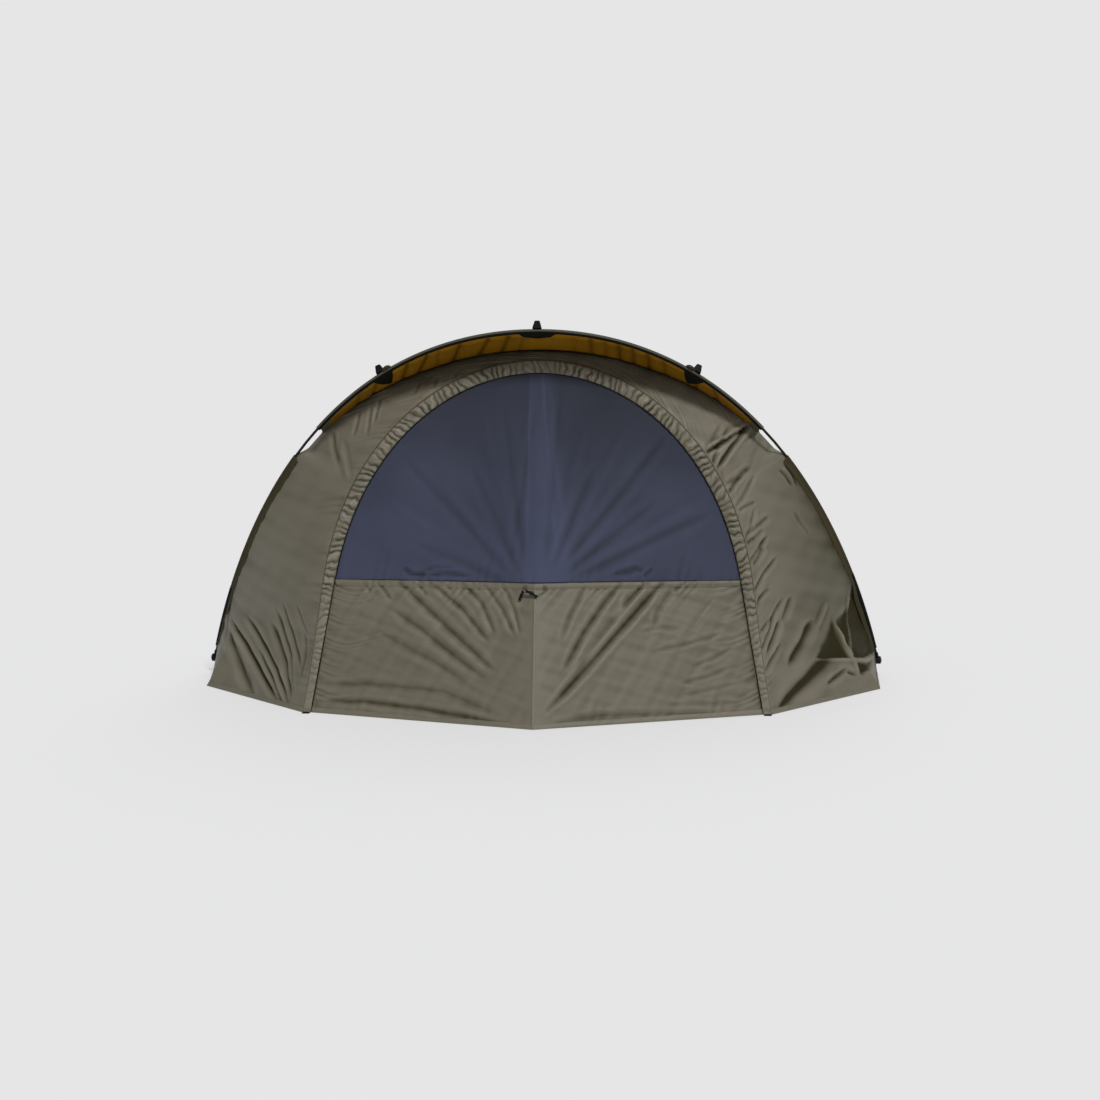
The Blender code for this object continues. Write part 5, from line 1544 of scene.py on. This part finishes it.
class BIVVY_OT_rear(bpy.types.Operator):
    """Sew the fixed rear cover, its vent, rain hood and hem, and finish the groundsheet"""
    bl_idname = "bivvy.rear"
    bl_label = "Rear"

    def execute(self, context):
        places = both_ways(steps(0, VENT_HALF, 16) + steps(VENT_HALF, FOOT, 112)[1:])
        low, high = VENT_ROWS
        along = steps(0, 1, 30) + steps(1, low, 9)[1:] + steps(low, high, 18)[1:] + steps(high, 2, 10)[1:]
        cloth = Cloth(rear_cover, places, along)
        s, v = np.abs(cloth.s), cloth.v
        between = np.sin(math.pi * (v % 1.0)) ** 2
        vent = 1 - (1 - eased((s - VENT_HALF) / 0.05)) * (1 - eased(np.abs(v - 1.5) * 2.2 - 0.3))
        foot = eased((s - 0.6) / 0.3)
        height = -0.005 * between * (1 - foot) * np.where(v < 1, 1.0, 0.6)
        height += 0.004 * between * foot * np.sin(v * 8.0 + 4 * s)
        height += swell(cloth.left, cloth.low, 0.6, 0.0016, 0.9) * between
        for edge in (0.0, 1.0, 2.0):
            height += puckers(cloth.left, np.abs(v - edge) * 0.6, 0.04, 0.035, 0.0014, edge + 0.4) * between
        cloth.raise_by(height * vent)

        def opening(j, i):
            row, column = along[int(j)], places[int(i)]
            return low - 1e-6 <= row < high - 1e-6 and -VENT_HALF - 1e-6 <= column < VENT_HALF - 1e-6

        made = sew("rear_cover", cloth, LINED_OXFORD, "root", gone=opening)
        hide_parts(*[f"{part}_{side}" for part in ("rear_shell", "back_wall") for side in THREE])
        self.seams(cloth)
        self.vent()
        repaint("groundsheet", "heavy_groundsheet")
        return {"FINISHED"}

    def seams(self, cloth):
        """Felled seams along the gores and over the back rib, and a hem on the ground."""
        made = []
        for side, name in SIDES:
            gore = column_of(cloth, index_at(side * GORE_PLACE, cloth.across))
            made.append(seam(f"rear_gore_seam_{name}", gore, "root"))
        made.append(seam("back_rib_seam", row_of(cloth, index_at(1.0, cloth.along), 2), "root"))
        made.append(edge_tape("rear_hem", cloth, -1, sizes().hem_width, HEM_HEIGHT, OXFORD, "root"))
        return made

    def vent(self):
        """Netting across the opening, and the stiffened rain hood over it."""
        half = VENT_HALF + 0.012
        cloth = Cloth(
            lambda s, v: rear_cover(s, v) - rear_normal(s) * OFF_WALL,
            steps(-half, half, 60), steps(1.23, 1.77, 40))
        slack = eased(cloth.left / 0.03) * eased(cloth.right / 0.03)
        cloth.raise_by(swell(cloth.left, cloth.low, 0.2, 0.0006) * slack)
        net = sew("vent_net", cloth, [NETTING], "root", NET_THICKNESS)
        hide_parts("vent_netting")

        def awning(s, v):
            normal = rear_normal(s)
            top = rear_cover(s, AWNING_ROWS[0]) + normal * OFF_WALL
            low = rear_cover(s, AWNING_ROWS[1]) + normal * AWNING_REACH
            return top.lerp(low, v) + normal * 0.006 * math.sin(math.pi * v)

        cloth = Cloth(awning, steps(-VENT_HALF, VENT_HALF, 70), steps(0, 1, 20))
        cloth.raise_by(puckers(cloth.left, cloth.low, 0.02, 0.02, 0.001, 0.5) * eased(cloth.low / 0.01))
        hood = sew("vent_awning", cloth, LINED_OXFORD, "root")
        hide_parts("vent_hood")
        last = row_of(cloth, len(cloth.along) - 1)
        edge = swept("vent_awning_binding", last, ring(0.0020, 8), WEBBING, "root")


class BIVVY_OT_fittings(bpy.types.Operator):
    """Finish the poles, hubs, rivets, bars, clips, caps and peg loops"""
    bl_idname = "bivvy.fittings"
    bl_label = "Fittings"

    def execute(self, context):
        for node in ("front_hoop", "middle_rib", "rear_rib", "back_rib"):
            repaint(node, "pultruded_glass_fibre")
        for side in ("left", "right"):
            for stem in ("hub_block", "hoop_knuckle", "middle_knuckle"):
                repaint(f"{stem}_{side}", "moulded_black_nylon")
            repaint(f"pivot_rivet_{side}", "zinc_plated_steel")
            for stem in ("peg_loop_front", "peg_loop_rear"):
                repaint(f"{stem}_{side}", "black_webbing")
        for name in THREE:
            repaint(f"bar_clip_{name}", "moulded_black_nylon")
            repaint(f"bar_cap_{name}", "moulded_black_nylon")
            repaint(f"tension_bar_{name}", "pultruded_glass_fibre")
        return {"FINISHED"}


# The camera that took the photo: its place, how far it looks down and turns, and its focal length in pixels
CAMERA_PLACE = (0.1973, -5.9953, 0.9634)
CAMERA_DOWN = 0.0739
CAMERA_TURN = 0.0284
FOCAL_PIXELS = 1495
PHOTO_PIXELS = 1100
SENSOR_MM = 36

# Soft suns: name, turn from the front and height in degrees, strength, and softness in degrees
LAMPS = (("key", 24, 43, 2.10, 14), ("fill", -30, 28, 0.22, 60), ("rear", 170, 48, 0.50, 50))

# What lights the tent from all round, and where the paper fades into the surround, in metres from the tent
SKY = (0.235, 0.24, 0.25, 1)
FADE_START = 1.5
FADE_END = 4.5
FLOOR_Z = -0.0005


class BIVVY_OT_stage(bpy.types.Operator):
    """Set up the pale floor and backdrop, the soft lamps and the camera"""
    bl_idname = "bivvy.stage"
    bl_label = "Stage"

    def execute(self, context):
        scene = context.scene
        camera = bpy.data.objects.new("camera", bpy.data.cameras.new("camera"))
        scene.collection.objects.link(camera)
        camera.location = CAMERA_PLACE
        camera.rotation_euler = (math.pi / 2 - CAMERA_DOWN, 0, CAMERA_TURN)
        camera.data.sensor_width = SENSOR_MM
        camera.data.lens = SENSOR_MM * FOCAL_PIXELS / PHOTO_PIXELS
        camera.data.clip_end = 200
        scene.camera = camera
        self.floor()
        self.surround(scene)
        for name, turn, height, strength, softness in LAMPS:
            lamp = bpy.data.objects.new(name, bpy.data.lights.new(name, "SUN"))
            lamp.data.energy = strength
            lamp.data.angle = math.radians(softness)
            turn, height = math.radians(turn), math.radians(height)
            flat = math.cos(height)
            aim = Vector((-math.sin(turn) * flat, math.cos(turn) * flat, -math.sin(height)))
            lamp.location = aim * -6
            lamp.rotation_euler = aim.to_track_quat("-Z", "Y").to_euler()
            scene.collection.objects.link(lamp)
        scene.view_settings.view_transform = "Standard"
        return {"FINISHED"}

    def floor(self):
        """A pale paper floor that keeps the shadow and fades into the surround, so that no horizon shows."""
        made, tree, shader = new_material("matt_studio_paper")
        place = add_node(tree, "ShaderNodeTexCoord").outputs["Object"]
        paper = add_node(tree, "ShaderNodeTexNoise", {"Vector": place, "Scale": 0.7, "Detail": 2.0})
        pale = colours().floor
        tone = mixed_colour(tree, paper.outputs["Fac"], scaled(pale, 1.18), scaled(pale, 1.20))
        tree.links.new(tone, shader.inputs["Base Color"])
        shader.inputs["Roughness"].default_value = 0.9
        shader.inputs["Specular IOR Level"].default_value = 0.05
        away = add_node(tree, "ShaderNodeVectorMath", {0: place}, operation="LENGTH")
        fade = add_node(
            tree, "ShaderNodeMapRange",
            {"Value": away.outputs["Value"], "From Min": FADE_START, "From Max": FADE_END, "To Min": 0.45},
            interpolation_type="SMOOTHSTEP")
        even = add_node(tree, "ShaderNodeEmission", {"Color": pale})
        mixed = add_node(
            tree, "ShaderNodeMixShader",
            {"Fac": fade.outputs["Result"], 1: shader.outputs["BSDF"], 2: even.outputs["Emission"]})
        tree.links.new(mixed.outputs["Shader"], tree.nodes["Material Output"].inputs["Surface"])
        bm = bmesh.new()
        bmesh.ops.create_grid(bm, x_segments=8, y_segments=8, size=60)
        floor = mesh_object("floor", bm, [made], None)
        floor.location.z = FLOOR_Z

    def surround(self, scene):
        """An even surround of the floor's tone, which lights the tent softly."""
        world = bpy.data.worlds.new("surround")
        scene.world = world
        world.use_nodes = True
        tree = world.node_tree
        rays = add_node(tree, "ShaderNodeLightPath")
        tone = mixed_colour(tree, rays.outputs["Is Camera Ray"], SKY, colours().floor)
        tree.links.new(tone, tree.nodes["Background"].inputs["Color"])
        tree.nodes["Background"].inputs["Strength"].default_value = 1.0


class BIVVY_PT_panel(bpy.types.Panel):
    """Lists the pieces, their sizes and their colours"""
    bl_idname = "BIVVY_PT_panel"
    bl_label = "Bivvy Tent"
    bl_space_type = "VIEW_3D"
    bl_region_type = "UI"
    bl_category = "Bivvy"

    def draw(self, context):
        for group in (context.scene.bivvy_sizes, context.scene.bivvy_colours):
            box = self.layout.box()
            for name in group.__annotations__:
                box.prop(group, name)
        for operator in OPERATORS:
            self.layout.operator(operator.bl_idname)


OPERATORS = (
    BIVVY_OT_stage, BIVVY_OT_canopy, BIVVY_OT_front_wall, BIVVY_OT_door, BIVVY_OT_rear, BIVVY_OT_fittings)
CLASSES = (BivvySizes, BivvyColours, *OPERATORS, BIVVY_PT_panel)


def register():
    for item in CLASSES:
        bpy.utils.register_class(item)
    bpy.types.Scene.bivvy_sizes = bpy.props.PointerProperty(type=BivvySizes)
    bpy.types.Scene.bivvy_colours = bpy.props.PointerProperty(type=BivvyColours)


def unregister():
    del bpy.types.Scene.bivvy_sizes
    del bpy.types.Scene.bivvy_colours
    for item in reversed(CLASSES):
        bpy.utils.unregister_class(item)


def main():
    """Builds every piece in order."""
    register()
    bpy.ops.bivvy.stage()
    bpy.ops.bivvy.canopy()
    bpy.ops.bivvy.front_wall()
    bpy.ops.bivvy.door()
    bpy.ops.bivvy.rear()
    bpy.ops.bivvy.fittings()


if __name__ == "__main__":
    main()
